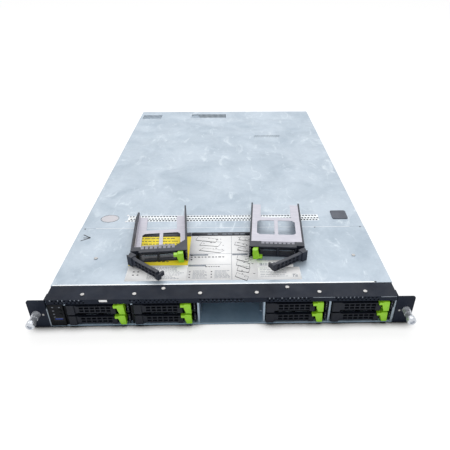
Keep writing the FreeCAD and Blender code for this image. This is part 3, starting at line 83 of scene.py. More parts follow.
class Nodes:
    """A material's node tree, with short ways to add what the finishes share."""

    def __init__(self, name, color, roughness, metallic=0.0):
        self.material = bpy.data.materials.new(name)
        self.material.use_nodes = True
        self.tree = self.material.node_tree
        self.shader = self.tree.nodes["Principled BSDF"]
        self.shader.inputs["Base Color"].default_value = (*color, 1)
        self.shader.inputs["Roughness"].default_value = roughness
        self.shader.inputs["Metallic"].default_value = metallic
        coordinates = self.add("ShaderNodeTexCoord")
        self.place = coordinates.outputs["Object"]
        self.height = None

    def add(self, kind, **settings):
        """A node with its settings."""
        node = self.tree.nodes.new(kind)
        for key, value in settings.items():
            setattr(node, key, value)
        return node

    def link(self, start, end):
        """A link between two sockets."""
        self.tree.links.new(start, end)

    def stretched(self, scale):
        """The object's coordinates, stretched, for grain with a direction."""
        mapping = self.add("ShaderNodeMapping")
        mapping.inputs["Scale"].default_value = scale
        self.link(self.place, mapping.inputs["Vector"])
        return mapping.outputs["Vector"]

    def noise(self, size, detail=3.0, roughness=0.55, place=None, distortion=0.0):
        """A noise whose lumps are about a size, in millimetres."""
        node = self.add("ShaderNodeTexNoise")
        node.inputs["Scale"].default_value = 1 / (size * MM)
        node.inputs["Detail"].default_value = detail
        node.inputs["Roughness"].default_value = roughness
        node.inputs["Distortion"].default_value = distortion
        self.link(place or self.place, node.inputs["Vector"])
        return node.outputs["Fac"]

    def ramp(self, value, stops):
        """A colour ramp over a value."""
        node = self.add("ShaderNodeValToRGB")
        elements = node.color_ramp.elements
        while len(elements) < len(stops):
            elements.new(0.5)
        for element, (position, color) in zip(elements, stops):
            element.position = position
            element.color = (*color, 1)
        self.link(value, node.inputs["Fac"])
        return node.outputs["Color"]

    def levels(self, value, low, high, out_low, out_high):
        """A value's range turned into another."""
        node = self.add("ShaderNodeMapRange")
        for key, number in (("From Min", low), ("From Max", high), ("To Min", out_low), ("To Max", out_high)):
            node.inputs[key].default_value = number
        self.link(value, node.inputs["Value"])
        return node.outputs["Result"]

    def mix(self, factor, first, second, blend="MIX"):
        """Two colours mixed by a factor: a socket or a number."""
        node = self.add("ShaderNodeMix", data_type="RGBA", blend_type=blend)
        for key, value in (("Factor", factor), ("A", first), ("B", second)):
            socket = [s for s in node.inputs if s.name == key and s.enabled][0]
            if isinstance(value, (int, float)):
                socket.default_value = value
            elif isinstance(value, tuple):
                socket.default_value = (*value, 1)
            else:
                self.link(value, socket)
        return [s for s in node.outputs if s.enabled][0]

    def bump(self, value, strength, distance):
        """A bump from a value, over the bumps before it."""
        node = self.add("ShaderNodeBump")
        node.inputs["Strength"].default_value = strength
        node.inputs["Distance"].default_value = distance * MM
        self.link(value, node.inputs["Height"])
        if self.height is not None:
            self.link(self.height, node.inputs["Normal"])
        self.height = node.outputs["Normal"]
        self.link(self.height, self.shader.inputs["Normal"])

    def color(self, socket):
        """The base colour from a socket."""
        self.link(socket, self.shader.inputs["Base Color"])

    def rough(self, value, low, high):
        """The roughness between two levels, from a noise."""
        self.link(self.levels(value, 0.3, 0.7, low, high), self.shader.inputs["Roughness"])


def galvanised(name, dark, light, metallic=0.35, scratches=True):
    """Dull zinc-coated sheet: cloudy tone, faint spangle, smudges and pale scratches."""
    m = Nodes(name, light, 0.42, metallic)
    cloud = m.noise(70, 4, 0.6, distortion=0.6)
    tone = m.ramp(cloud, [(0.32, dark), (0.62, light)])
    spangle = m.add("ShaderNodeTexVoronoi", feature="F1")
    spangle.inputs["Scale"].default_value = 1 / (9 * MM)
    m.link(m.place, spangle.inputs["Vector"])
    flake = m.ramp(spangle.outputs["Color"], [(0.0, (0.93, 0.94, 0.95)), (1.0, (1.0, 1.0, 1.0))])
    tone = m.mix(0.8, tone, flake, "MULTIPLY")
    mottle = m.ramp(m.noise(6, 5, 0.75), [(0.3, (0.90, 0.91, 0.92)), (0.7, (1.0, 1.0, 1.0))])
    tone = m.mix(0.9, tone, mottle, "MULTIPLY")
    if scratches:
        smear = m.noise(26, 5, 0.7, m.stretched((1.0, 0.45, 1.0)), 1.4)
        pale = m.levels(smear, 0.56, 0.74, 0.0, 0.55)
        tone = m.mix(pale, tone, (0.80, 0.87, 0.92))
        fine = m.noise(5, 6, 0.75, m.stretched((0.25, 1.0, 1.0)), 2.5)
        lines = m.levels(fine, 0.64, 0.70, 0.0, 0.5)
        tone = m.mix(lines, tone, (0.88, 0.92, 0.95))
    m.color(tone)
    m.rough(m.noise(40, 5, 0.65), 0.34, 0.52)
    m.bump(m.noise(1.2, 3), 0.08, 0.05)
    m.bump(cloud, 0.05, 0.6)
    return m.material


def painted_black(name):
    """Satin black paint, with a fine orange peel, dust and rubbed marks."""
    m = Nodes(name, (0.009, 0.012, 0.020), 0.5)
    m.shader.inputs["Specular IOR Level"].default_value = 0.12
    cloud = m.noise(45, 4, 0.6)
    tone = m.ramp(cloud, [(0.3, (0.006, 0.009, 0.018)), (0.7, (0.015, 0.021, 0.036))])
    rubbed = m.levels(m.noise(3.2, 6, 0.8, m.stretched((0.5, 1.0, 1.0)), 2.0), 0.63, 0.72, 0.0, 0.5)
    m.color(m.mix(rubbed, tone, (0.16, 0.18, 0.22)))
    m.rough(m.noise(18, 4), 0.42, 0.6)
    m.bump(m.noise(0.9, 2), 0.12, 0.05)
    return m.material


def moulded(name, dark, light, roughness=0.42, grain=0.5, wear_and_glint=(0.10, 0.12, 0.15), specular=0.35):
    """Moulded plastic: fine grain, slight cloud, lighter rub marks."""
    m = Nodes(name, light, roughness)
    m.shader.inputs["Specular IOR Level"].default_value = specular
    tone = m.ramp(m.noise(14, 3), [(0.3, dark), (0.7, light)])
    rubbed = m.levels(m.noise(2.4, 6, 0.8, None, 1.5), 0.64, 0.74, 0.0, 0.35)
    m.color(m.mix(rubbed, tone, wear_and_glint))
    m.rough(m.noise(8, 4), roughness - 0.07, roughness + 0.1)
    m.bump(m.noise(grain, 2), 0.1, 0.04)
    return m.material


def brushed(name, dark, light, roughness=0.34, metallic=0.8, size=1.2):
    """Bare metal with a fine grain along X."""
    m = Nodes(name, light, roughness, metallic)
    grain = m.noise(size, 4, 0.6, m.stretched((0.08, 1.0, 1.0)))
    tone = m.ramp(grain, [(0.3, dark), (0.7, light)])
    m.color(m.mix(m.levels(m.noise(12, 4), 0.35, 0.7, 0.0, 0.45), tone, dark))
    m.rough(grain, roughness - 0.06, roughness + 0.08)
    m.bump(grain, 0.06, 0.03)
    return m.material


def paper(name, color, soiled):
    """Printed label stock, slightly soiled."""
    m = Nodes(name, color, 0.55)
    m.color(m.mix(m.levels(m.noise(16, 5, 0.7), 0.45, 0.75, 0.0, 0.6), color, soiled))
    m.rough(m.noise(6, 3), 0.45, 0.65)
    m.bump(m.noise(3, 3), 0.05, 0.05)
    return m.material


def board_green(name):
    """Solder resist over copper tracks."""
    m = Nodes(name, (0.012, 0.085, 0.045), 0.35)
    tracks = m.add("ShaderNodeTexBrick")
    tracks.inputs["Scale"].default_value = 1 / (6 * MM)
    tracks.inputs["Mortar Size"].default_value = 0.03
    m.link(m.place, tracks.inputs["Vector"])
    tone = m.ramp(tracks.outputs["Fac"], [(0.0, (0.010, 0.075, 0.040)), (1.0, (0.03, 0.15, 0.075))])
    m.color(m.mix(m.levels(m.noise(20, 3), 0.4, 0.7, 0.0, 0.5), tone, (0.008, 0.06, 0.035)))
    m.rough(m.noise(3, 3), 0.28, 0.42)
    return m.material


def lamp(name, color, strength):
    """A glowing finish, for lit indicators behind diffusing lenses and for a painted glow on the socket's tongue,
    which is no lamp.
    """
    m = Nodes(name, color, 0.3)
    glow = m.ramp(m.noise(1.0, 2), [(0.2, color), (0.9, tuple(min(1.0, c * 1.6 + 0.05) for c in color))])
    m.link(glow, m.shader.inputs["Emission Color"])
    m.color(glow)
    m.shader.inputs["Emission Strength"].default_value = strength
    return m.material


ZINC = galvanised("zinc_cover", (0.38, 0.46, 0.54), (0.51, 0.59, 0.67), 0.15)
ZINC_INSIDE = galvanised("zinc_inside", (0.27, 0.41, 0.54), (0.40, 0.54, 0.67), 0.4, False)
BLACK_PAINT = painted_black("black_paint")
CAGE = brushed("cage_steel", (0.26, 0.34, 0.42), (0.46, 0.54, 0.62), 0.4, 0.6)
DARK = moulded("dark_plastic", (0.005, 0.007, 0.012), (0.012, 0.015, 0.024), specular=0.22)
# A lighter copy of the dark plastic, for the loose carriers: painted light where the top light falls on them
TOP_LIT_PLASTIC = moulded("loose_plastic", (0.014, 0.017, 0.028), (0.030, 0.035, 0.053), specular=0.3)
# A black plastic for the control panel, also laid on the first dividers' front edges as painted shade
PANEL_AND_SHADE = moulded("panel_plastic", (0.002, 0.003, 0.004), (0.004, 0.005, 0.008), 0.55, specular=0.15)
RIBBED = moulded("grip_plastic", (0.10, 0.13, 0.14), (0.17, 0.21, 0.22), 0.5)
GREEN = moulded(
    "green_plastic", (0.27, 0.60, 0.012), (0.38, 0.76, 0.035), 0.33, 0.6,
    wear_and_glint=(0.60, 0.90, 0.28), specular=0.5,
)
TRAY = brushed("tray_steel", (0.42, 0.42, 0.48), (0.58, 0.565, 0.63), 0.45, 0.3, 2.5)
SPRING = brushed("spring_steel", (0.55, 0.58, 0.63), (0.85, 0.87, 0.9), 0.25, 0.9)
BRIGHT = brushed("bright_metal", (0.50, 0.53, 0.58), (0.80, 0.82, 0.86), 0.36, 0.8)
# A pale metal for the front cover's folded edges: painted highlight where the bends catch the light
HEM_HIGHLIGHT = brushed("painted_hem_highlight", (0.70, 0.74, 0.78), (0.9, 0.92, 0.94), 0.4, 0.35)
STEEL_EDGE = brushed("dull_edge", (0.24, 0.29, 0.34), (0.40, 0.46, 0.52), 0.42, 0.5)
COMB = brushed("comb_steel", (0.14, 0.14, 0.17), (0.26, 0.26, 0.30), 0.42, 0.5)
# A paler steel for the base's front lip: the lip is real, and its paleness is a painted highlight on its edge
LIP_HIGHLIGHT_STEEL = brushed("lip_steel_painted_highlight", (0.36, 0.44, 0.52), (0.48, 0.57, 0.65), 0.45, 0.3)
# A pale zinc for the sheet between the band's holes: painted highlight
BAND_HIGHLIGHT = brushed("band_painted_highlight", (0.72, 0.77, 0.81), (0.88, 0.91, 0.93), 0.45, 0.25)
SCREW = brushed("screw_metal", (0.33, 0.325, 0.32), (0.52, 0.51, 0.50), 0.4, 0.5)
BUTTON = brushed("button_steel", (0.44, 0.43, 0.46), (0.58, 0.57, 0.60), 0.45, 0.3)
COOLER = brushed("cooler_metal", (0.6, 0.62, 0.64), (0.78, 0.8, 0.82), 0.3, 0.9)
DRIVE_METAL = brushed("drive_metal", (0.32, 0.34, 0.36), (0.5, 0.52, 0.54), 0.4, 0.7)
FAN = moulded("fan_plastic", (0.014, 0.014, 0.016), (0.028, 0.028, 0.032))
BOARD = board_green("circuit_board")
CONNECTOR = moulded("connector_plastic", (0.02, 0.02, 0.022), (0.05, 0.05, 0.055), 0.5)
# A dark plastic for the cover's pad, also laid round the release button as painted shadow
PAD_AND_SHADOW = moulded("dark_pad_and_shadow", (0.060, 0.070, 0.095), (0.085, 0.10, 0.13), 0.5, 0.8, (0.18, 0.2, 0.24))
WHITE_PAPER = paper("white_label", (0.98, 0.985, 0.99), (0.90, 0.92, 0.95))
YELLOW_PAPER = paper("yellow_label", (0.98, 0.80, 0.015), (0.88, 0.70, 0.05))
INK = paper("ink", (0.020, 0.024, 0.035), (0.05, 0.055, 0.07))
# A grey for small print and light pipes, also laid on the plate's bent edge as painted highlight
GREY_MARK_AND_GLINT = paper("grey_mark_and_glint", (0.22, 0.25, 0.30), (0.35, 0.38, 0.42))
# A blue that glows, for the socket's tongue: painted glow on a part that is no lamp
BLUE_GLOW = lamp("blue_painted_glow", (0.006, 0.045, 0.30), 0.15)
PALE_LAMP = lamp("pale_lamp", (0.085, 0.095, 0.12), 0.05)
# A flat black laid where there are holes, notches and openings: painted shade, with the black insides of the ports
SHADE_BLACK = moulded("painted_shade_black", (0.004, 0.004, 0.005), (0.009, 0.009, 0.011), 0.6)


# Mesh helpers

# How close corners are joined: in copies of the CAD meshes, and in plates made here
WELD = 0.002
FINE_WELD = 0.0005


def add_box(bm, low, high):
    """A box into a mesh, between two corners."""
    middle = [(a + b) / 2 * MM for a, b in zip(low, high)]
    size = [(b - a) * MM for a, b in zip(low, high)]
    matrix = Matrix.Translation(middle) @ Matrix.Diagonal((*size, 1))
    bmesh.ops.create_cube(bm, size=1, matrix=matrix)


def add_prism(bm, points, reach):
    """A closed outline of 3-D points pulled along a vector, into a mesh."""
    push = Vector(reach) * MM
    first = [bm.verts.new(Vector(p) * MM) for p in points]
    second = [bm.verts.new(v.co + push) for v in first]
    start = first[0].co
    normal = sum(((b.co - start).cross(c.co - start) for b, c in zip(first[1:], first[2:])), Vector())
    if normal.dot(push) > 0:
        first, second = second, first
    bm.faces.new(first)
    bm.faces.new(second[::-1])
    for i in range(len(first)):
        j = (i + 1) % len(first)
        bm.faces.new((first[j], first[i], second[i], second[j]))


def add_turned(bm, profile, place, segments, hollow=False, knurl=0.0, knurled=()):
    """A profile of (radius, depth) turned about a placement's Z axis, as a solid or as a ring.

    The knurl goes into every other corner at the profile's points whose numbers are in knurled.
    """
    circles = []
    for number, (radius, depth) in enumerate(profile):
        circle = []
        for i in range(segments):
            angle = 2 * math.pi * i / segments
            r = radius - (knurl if number in knurled and i % 2 else 0.0)
            point = Vector((r * math.cos(angle), r * math.sin(angle), depth)) * MM
            circle.append(bm.verts.new(place @ point))
        circles.append(circle)
    following = circles[1:] + circles[:1] if hollow else circles[1:]
    for a, b in zip(circles, following):
        for i in range(segments):
            j = (i + 1) % segments
            bm.faces.new((a[i], a[j], b[j], b[i]))
    if not hollow:
        bm.faces.new(circles[0][::-1])
        bm.faces.new(circles[-1])


def add_stroke(bm, start, end, width, z):
    """A thin printed line between two points of a flat sheet."""
    along = Vector((end[0] - start[0], end[1] - start[1], 0))
    side = along.normalized().cross(Vector((0, 0, 1))) * width / 2
    first, last = Vector((*start, z[0])), Vector((*end, z[0]))
    add_prism(bm, [first + side, last + side, last - side, first - side], (0, 0, z[1] - z[0]))


def finish_mesh(bm, name):
    """A mesh from a bmesh, with its faces turned outwards and smooth."""
    bmesh.ops.recalc_face_normals(bm, faces=bm.faces)
    for edge in bm.edges:
        if len(edge.link_faces) == 2 and edge.calc_face_angle() > SHARP:
            edge.smooth = False
    mesh = bpy.data.meshes.new(name)
    bm.to_mesh(mesh)
    bm.free()
    for face in mesh.polygons:
        face.use_smooth = True
    return mesh


def bevelled(obj, width, segments):
    """Rounded edges on an object, with flat faces kept flat."""
    bevel = obj.modifiers.new("bevel", "BEVEL")
    bevel.width = width * MM
    bevel.segments = segments
    bevel.limit_method = "ANGLE"
    bevel.angle_limit = SHARP
    bevel.harden_normals = True


def piece(name, mesh, material, body, place=None, bevel=0.0, stands_for=(), slot=None, segments=2):
    """An object that rides on a body, with its finish and rounded edges."""
    obj = bpy.data.objects.new(name, mesh)
    bpy.context.scene.collection.objects.link(obj)
    if not mesh.materials:
        mesh.materials.append(material)
    if place is not None:
        obj.matrix_world = place
    if bevel:
        bevelled(obj, bevel, segments)
    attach(obj, body)
    if stands_for:
        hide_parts(*stands_for)


def editable(mesh):
    """A bmesh that starts with a mesh's faces."""
    bm = bmesh.new()
    bm.from_mesh(mesh)
    return bm


def turned_mesh(name, profile, place, segments, **options):
    """A mesh of one turned form."""
    bm = bmesh.new()
    add_turned(bm, profile, place, segments, **options)
    return finish_mesh(bm, name)


def cad_copy(node, matrix=None):
    """A welded copy of a CAD node's mesh, with flat stretches merged, moved by a matrix."""
    bm = editable(NODES[node].data)
    bmesh.ops.remove_doubles(bm, verts=bm.verts, dist=WELD * MM)
    bmesh.ops.dissolve_limit(bm, angle_limit=math.radians(1), verts=bm.verts, edges=bm.edges)
    if matrix is not None:
        bmesh.ops.transform(bm, matrix=matrix, verts=bm.verts)
    return finish_mesh(bm, node + "_dressed")


def dress_parts(node, material, other, is_other, bevel, slot):
    """A CAD node redrawn with rounded edges and a second finish where a test on a face's middle says so."""
    mesh = cad_copy(node)
    mesh.materials.append(material)
    mesh.materials.append(other)
    for face in mesh.polygons:
        if is_other(face.center / MM):
            face.material_index = 1
    piece(node + "_skin", mesh, material, BODY_OF[node], bevel=bevel, stands_for=[node], slot=slot)


def boxes(name, limits, material, body, bevel=0.0):
    """A group of boxes as one piece, each from its low and high corner."""
    bm = bmesh.new()
    for low, high in limits:
        add_box(bm, low, high)
    piece(name, finish_mesh(bm, name), material, body, bevel=bevel)


def dress(node, material, bevel, slot):
    """A CAD node redrawn with rounded edges."""
    mesh = cad_copy(node)
    piece(node + "_skin", mesh, material, BODY_OF[node], bevel=bevel, stands_for=[node], slot=slot)


def plate_mesh(name, outline, holes, low, high):
    """A flat sheet with holes, from outlines in X and Y, between two heights."""
    curve = bpy.data.curves.new(name, "CURVE")
    curve.dimensions = "2D"
    curve.fill_mode = "BOTH"
    curve.extrude = (high - low) / 2 * MM
    for loop in [outline] + holes:
        spline = curve.splines.new("POLY")
        spline.points.add(len(loop) - 1)
        for point, (x, y) in zip(spline.points, loop):
            point.co = (x * MM, y * MM, 0, 1)
        spline.use_cyclic_u = True
    holder = bpy.data.objects.new(name, curve)
    mesh = bpy.data.meshes.new_from_object(holder)
    bpy.data.objects.remove(holder)
    bpy.data.curves.remove(curve)
    bm = editable(mesh)
    bmesh.ops.remove_doubles(bm, verts=bm.verts, dist=FINE_WELD * MM)
    bmesh.ops.translate(bm, vec=(0, 0, (low + high) / 2 * MM), verts=bm.verts)
    bpy.data.meshes.remove(mesh)
    return finish_mesh(bm, name)


def ring(middle, radii, count, start=0.0):
    """Points round an oval."""
    points = []
    for i in range(count):
        angle = 2 * math.pi * (i / count) + start
        points.append((middle[0] + radii[0] * math.cos(angle), middle[1] + radii[1] * math.sin(angle)))
    return points


def rounded_rectangle(x, y, radius, count=4):
    """Points round a rectangle with rounded corners."""
    points = []
    for middle_x, middle_y, turn in (
        (x[1] - radius, y[1] - radius, 0), (x[0] + radius, y[1] - radius, 1),
        (x[0] + radius, y[0] + radius, 2), (x[1] - radius, y[0] + radius, 3),
    ):
        for i in range(count + 1):
            angle = math.pi / 2 * (turn + i / count)
            points.append((middle_x + radius * math.cos(angle), middle_y + radius * math.sin(angle)))
    return points


# The covers' details

PAPER = (LID - 0.04, LID + 0.05)
PRINT = (LID, LID + 0.09)
FLUSH = (LID - 0.1, LID + 0.06)
HOLE_SIDES = 10
BAND_ROWS = (190.4, 195.7, 203.4)
BAND_X = (-150, 157)
BAND_PITCH = 4.9
BAND_RADIUS = 1.9
RIM_HEIGHT = 0.02
LOUVRE_PITCH = 3.2
LOUVRE_WIDTH = 1.9
LOUVRES = (((-212, -164), (711, 741)), ((-87, 3), (718, 748)))
SIDE_VENT_X = (67, 127)
SIDE_VENT_ROWS = (573.5, 581.5)
SIDE_VENT_COUNT = 12
SIDE_VENT_INSET = 1.7
BUTTON_HOLE = (13.3, 10.8)
RIVETS = ((-154.8, 207.9), (-148, 198.2), (-154.6, 188.4))
PAD_AREA = ((175, 200), (191, 217.5))
BEND = 1.4
BEND_STEPS = 5
FLANGE_LOW = 34


def area(x, y, z):
    """The low and high corner of a box, from its extents."""
    return (x[0], y[0], z[0]), (x[1], y[1], z[1])


def front_cover():
    """The fixed cover over the bays, with painted highlights on its folded front edge and the seam behind it, and
    painted shade in small notches and holes.
    """
    dress("front_cover", ZINC, 0.3, "galvanised_steel")
    front, back = span("front_cover")[1]
    # The hem and the seam's lip are drawn pale: painted highlight on the folded edges
    hem = area((-218, 197), (front - 0.1, front + 2.0), (LID - 0.8, LID + 0.3))
    seam = area((-197, 197), (back - 0.9, back), (LID - 0.6, LID + 0.2))
    boxes("front_cover_hem_highlight", [hem, seam], HEM_HIGHLIGHT, "chassis", 0.25)
    # Dark flush patches in the notches and the seam's holes: painted shade
    notches = [area((x - 1.5, x + 1.5), (front + 0.4, front + 2.6), FLUSH) for x in (-213, 198.3)]
    notches += [area((x - 1.1, x + 1.1), (165.4, 167.4), FLUSH) for x in (-213, 142, 213)]
    boxes("front_cover_notch_shade", notches, SHADE_BLACK, "chassis")


def band_holes():
    """Three rows of small round holes across the cover, the middle one shifted by half a pitch."""
    holes = []
    for row, y in enumerate(BAND_ROWS):
        for i in range(int((BAND_X[1] - BAND_X[0]) / BAND_PITCH)):
            x = BAND_X[0] + (i + 0.5 * (row % 2)) * BAND_PITCH
            holes.append(ring((x, y), (BAND_RADIUS, BAND_RADIUS), HOLE_SIDES))
    return holes


def louvre_holes():
    """Two groups of long slots near the rear edge."""
    holes = []
    for across, along in LOUVRES:
        for i in range(int((across[1] - across[0]) / LOUVRE_PITCH)):
            x = across[0] + i * LOUVRE_PITCH
            holes.append(rounded_rectangle((x, x + LOUVRE_WIDTH), along, LOUVRE_WIDTH / 2 - 0.05, 3))
    return holes


def side_vent_holes():
    """Two rows of round holes to the right of the cover's middle."""
    holes = []
    pitch = (SIDE_VENT_X[1] - SIDE_VENT_X[0]) / SIDE_VENT_COUNT
    for row, y in enumerate(SIDE_VENT_ROWS):
        for i in range(SIDE_VENT_COUNT):
            x = SIDE_VENT_X[0] + (i + 0.5 * row) * pitch + SIDE_VENT_INSET
            holes.append(ring((x, y), (BAND_RADIUS, BAND_RADIUS), HOLE_SIDES))
    return holes


def folded_side(bm, side, y):
    """The bend and flange at one side of a cover."""
    turns = [math.pi / 2 * i / BEND_STEPS for i in range(BEND_STEPS + 1)]
    outline = [(HALF_WIDTH - BEND + BEND * math.sin(a), LID - BEND + BEND * math.cos(a)) for a in turns]
    outline += [(HALF_WIDTH, FLANGE_LOW), (HALF_WIDTH - LID_SHEET, FLANGE_LOW)]
    outline += [(HALF_WIDTH - LID_SHEET, LID - BEND), (HALF_WIDTH - BEND, LID - LID_SHEET)]
    add_prism(bm, [(side * x, y[0], z) for x, z in outline], (0, y[1] - y[0], 0))


def cover_plate(holes):
    """The rear cover's sheet with its holes and folded sides."""
    edge = HALF_WIDTH - BEND
    front, back = COVER_Y
    outline = [(-edge, front), (edge, front), (edge, back), (-edge, back)]
    bm = editable(plate_mesh("rear_cover_plate", outline, holes, LID - LID_SHEET, LID))
    for side in (-1, 1):
        folded_side(bm, side, COVER_Y)
    mesh = finish_mesh(bm, "rear_cover_plate")
    body = BODY_OF["rear_cover"]
    piece("rear_cover_skin", mesh, ZINC, body, stands_for=["rear_cover"], slot="galvanised_steel")


def cover_rivets():
    """Three low rivets beside the release button."""
    bm = bmesh.new()
    for x, y in RIVETS:
        place = Matrix.Translation(Vector((x, y, LID)) * MM)
        add_turned(bm, [(1.9, -0.2), (1.9, 0.15), (1.4, 0.45), (0.6, 0.6)], place, 16)
    piece("cover_rivets", finish_mesh(bm, "cover_rivets"), WHITE_PAPER, BODY_OF["rear_cover"])


def cover_pad():
    """The dark pad near the cover's front right corner."""
    bm = bmesh.new()
    outline = rounded_rectangle(*PAD_AREA, 3)
    add_prism(bm, [(x, y, LID - 0.1) for x, y in outline], (0, 0, 1.3))
    piece("cover_pad", finish_mesh(bm, "cover_pad"), PAD_AND_SHADOW, BODY_OF["rear_cover"], bevel=0.3)


def rear_cover():
    """The sliding cover: its band of small holes, louvres, side vent, release hole and folded sides."""
    low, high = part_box("cover_button")
    middle = ((low + high) / 2 / MM).xy
    button_hole = ring(middle, BUTTON_HOLE, 48)
    strip = rounded_rectangle((BAND_X[0] - 3, BAND_X[1] - 4), (BAND_ROWS[0] - 3, BAND_ROWS[-1] + 3), 1)
    # The button's oval is in this list too. It lies outside the strip, so it becomes a thin disc inside
    # the button, which shows when the button is pressed. That is a fault that is still to be mended.
    band = band_holes() + [button_hole]
    # A thin pale sheet over the band, holed like it: painted highlight between the holes
    rims = plate_mesh("band_highlight_rims", strip, band, LID - RIM_HEIGHT, LID + RIM_HEIGHT)
    piece("band_highlight_rims", rims, BAND_HIGHLIGHT, BODY_OF["rear_cover"])
    cover_plate(band_holes() + louvre_holes() + side_vent_holes() + [button_hole])
    cover_rivets()
    cover_pad()
    # A dark ring round the release button: painted shadow at the edge of its recess
    place = Matrix.Translation(Vector((*middle, LID)) * MM) @ Matrix.Diagonal((1.0, 0.81, 1.0, 1.0))
    profile = [(14.5, 0.0), (14.5, 0.12), (13.5, 0.12), (13.5, 0.0)]
    rim = turned_mesh("button_shadow_ring", profile, place, 48, hollow=True)
    piece("button_shadow_ring", rim, PAD_AND_SHADOW, BODY_OF["rear_cover"])


# The front top plate

PLATE_SHEET = 1.2
PLATE_ZONES = ((-212.0, -168.7), (-116.5, -53.8), (-29.8, 29.6), (53.7, 112.0), (139.0, 197.0))
# Zones and stretches of the plate's bent edge that get pale dashes of painted highlight
GLINT_ZONES = (PLATE_ZONES[0], PLATE_ZONES[3], PLATE_ZONES[4])
GLINT_STRETCHES = (((197.5, 217), 1.1), ((112.5, 138), 0.9))
PLATE_PITCH = 5.06
PLATE_HOLE = 1.3
PLATE_ROWS = (41.3, 38.4)
PLATE_NOTCHES = (9.6, -11.6)
NOTCH_WIDTH = 3
NOTCH_DEPTH = 2
STAND_UP = Matrix(((1, 0, 0, 0), (0, 0, 1, 0), (0, 1, 0, 0), (0, 0, 0, 1)))


def plate_holes():
    """Two rows of small round holes in each zone of the plate's flange."""
    holes = []
    for left, right in PLATE_ZONES:
        for row, height in enumerate(PLATE_ROWS):
            for i in range(int((right - left) / PLATE_PITCH)):
                middle = (left + (i + 0.5 + 0.5 * row) * PLATE_PITCH, height)
                holes.append(ring(middle, (PLATE_HOLE, PLATE_HOLE), 8, math.pi / 8))
    return holes


def plate_edge_glints(front):
    """Painted highlight along the plate's front edge: pale dashes where the bend catches the light between its
    holes, and longer bars beyond them.
    """
    # The dashes are grey boxes on the edge: painted highlight
    rng = random.Random(5)
    wear_and_glint = []
    for left, right in GLINT_ZONES:
        for i in range(int((right - left) / PLATE_PITCH)):
            if rng.random() < 0.75:
                x = left + i * PLATE_PITCH
                drop = rng.uniform(1.2, 1.9)
                width = rng.uniform(0.3, 0.9)
                wear_and_glint.append(area((x - 0.7, x + width), (front - 0.04, front + 0.2), (LID - drop, LID - 0.1)))
    for x, drop in GLINT_STRETCHES:
        wear_and_glint.append(area(x, (front - 0.04, front + 0.3), (LID - drop, LID - 0.1)))
    boxes("plate_edge_glints", wear_and_glint, GREY_MARK_AND_GLINT, "chassis")


def front_top_plate():
    """The painted plate: top with notches, flange with two rows of small round holes."""
    (left, right), (front, back), (low, _) = span("front_top_plate")
    side = right - PLATE_SHEET
    outline = [(-side, low), (side, low), (side, LID - 0.12), (-side, LID - 0.12)]
    bm = editable(plate_mesh("front_flange", outline, plate_holes(), 0, PLATE_SHEET))
    stand = Matrix.Translation((0, front * MM, 0)) @ STAND_UP
    bmesh.ops.transform(bm, matrix=stand, verts=bm.verts)
    top = [(left, front + PLATE_SHEET), (left, back)]
    for x in (left + PLATE_NOTCHES[0], right + PLATE_NOTCHES[1]):
        far, inner = x + NOTCH_WIDTH, back - NOTCH_DEPTH
        top += [(x, back), (x, inner), (far, inner), (far, back)]
    top += [(right, back), (right, front + PLATE_SHEET), (side, front + 0.25), (-side, front + 0.25)]
    add_prism(bm, [(x, y, LID - PLATE_SHEET) for x, y in top], (0, 0, PLATE_SHEET))
    mesh = finish_mesh(bm, "front_top_plate")
    shown = ["front_top_plate"]
    piece("front_top_plate_skin", mesh, BLACK_PAINT, "chassis", stands_for=shown, slot="black_paint")
    plate_edge_glints(front)
    label = area((-152, -142), (front - 0.1, front + 0.2), (39.3, 42.6))
    boxes("plate_label", [label], WHITE_PAPER, "chassis")


# The instruction sheet, with extents along X and Y

SHEET_Y = (35, 153.6)
LEFT_COLUMN = (-128, -48)
MIDDLE_COLUMN = (-48, 47)
RIGHT_COLUMN = (47, 104)
SHEET_WHITES = (
    (LEFT_COLUMN, (SHEET_Y[0], 69)), (MIDDLE_COLUMN, (SHEET_Y[0], 143.4)),
    (RIGHT_COLUMN, (SHEET_Y[0], 63)), ((47, 96), (63, 79)),
)
SHEET_YELLOW = ((-129, -48), (69.05, 142))
SHEET_HEADERS = (((-129, -48.2), (142.05, SHEET_Y[1])), (MIDDLE_COLUMN, (143.5, SHEET_Y[1])))
TITLE_LEFTS = (-24, -15.2, -2.0, 6.4, 17.0, 25.6)
SUBTITLES = ((-47, 91.6, 26), (-47, 66, 24), (13, 92, 22))
RULES = (((11.8, 12.3), (36, 143)), ((-47.6, 46.8), (95.8, 96.3)), ((-47.6, 11.6), (69.8, 70.3)))
DRAWINGS = (((-45, 9), (100, 141), 3), ((14, 46), (100, 141), 3), ((14, 46), (38, 90), 4))
PEN_STROKES = (((-211, 133), (-198.5, 141)), ((-198.5, 141), (-211, 150)), ((-209, 141), (-198.5, 141)))


def marks(lefts, fronts, width, depth):
    """A grid of small printed bars, column by column."""
    return [area((x, x + width), (y, y + depth), PRINT) for x in lefts for y in fronts]


def text_lines(rng, x, y, pitch, height, word=(2.0, 6.0)):
    """Rows of word-like bars within an area."""
    found = []
    line = y[1] - height
    while line >= y[0]:
        end = x[0] + (x[1] - x[0]) * rng.uniform(0.72, 1.0)
        left = x[0]
        while left < end - word[0]:
            length = min(rng.uniform(*word), end - left)
            found.append(area((left, left + length), (line, line + height), PRINT))
            left += length + height * 0.9
        line -= pitch
    return found


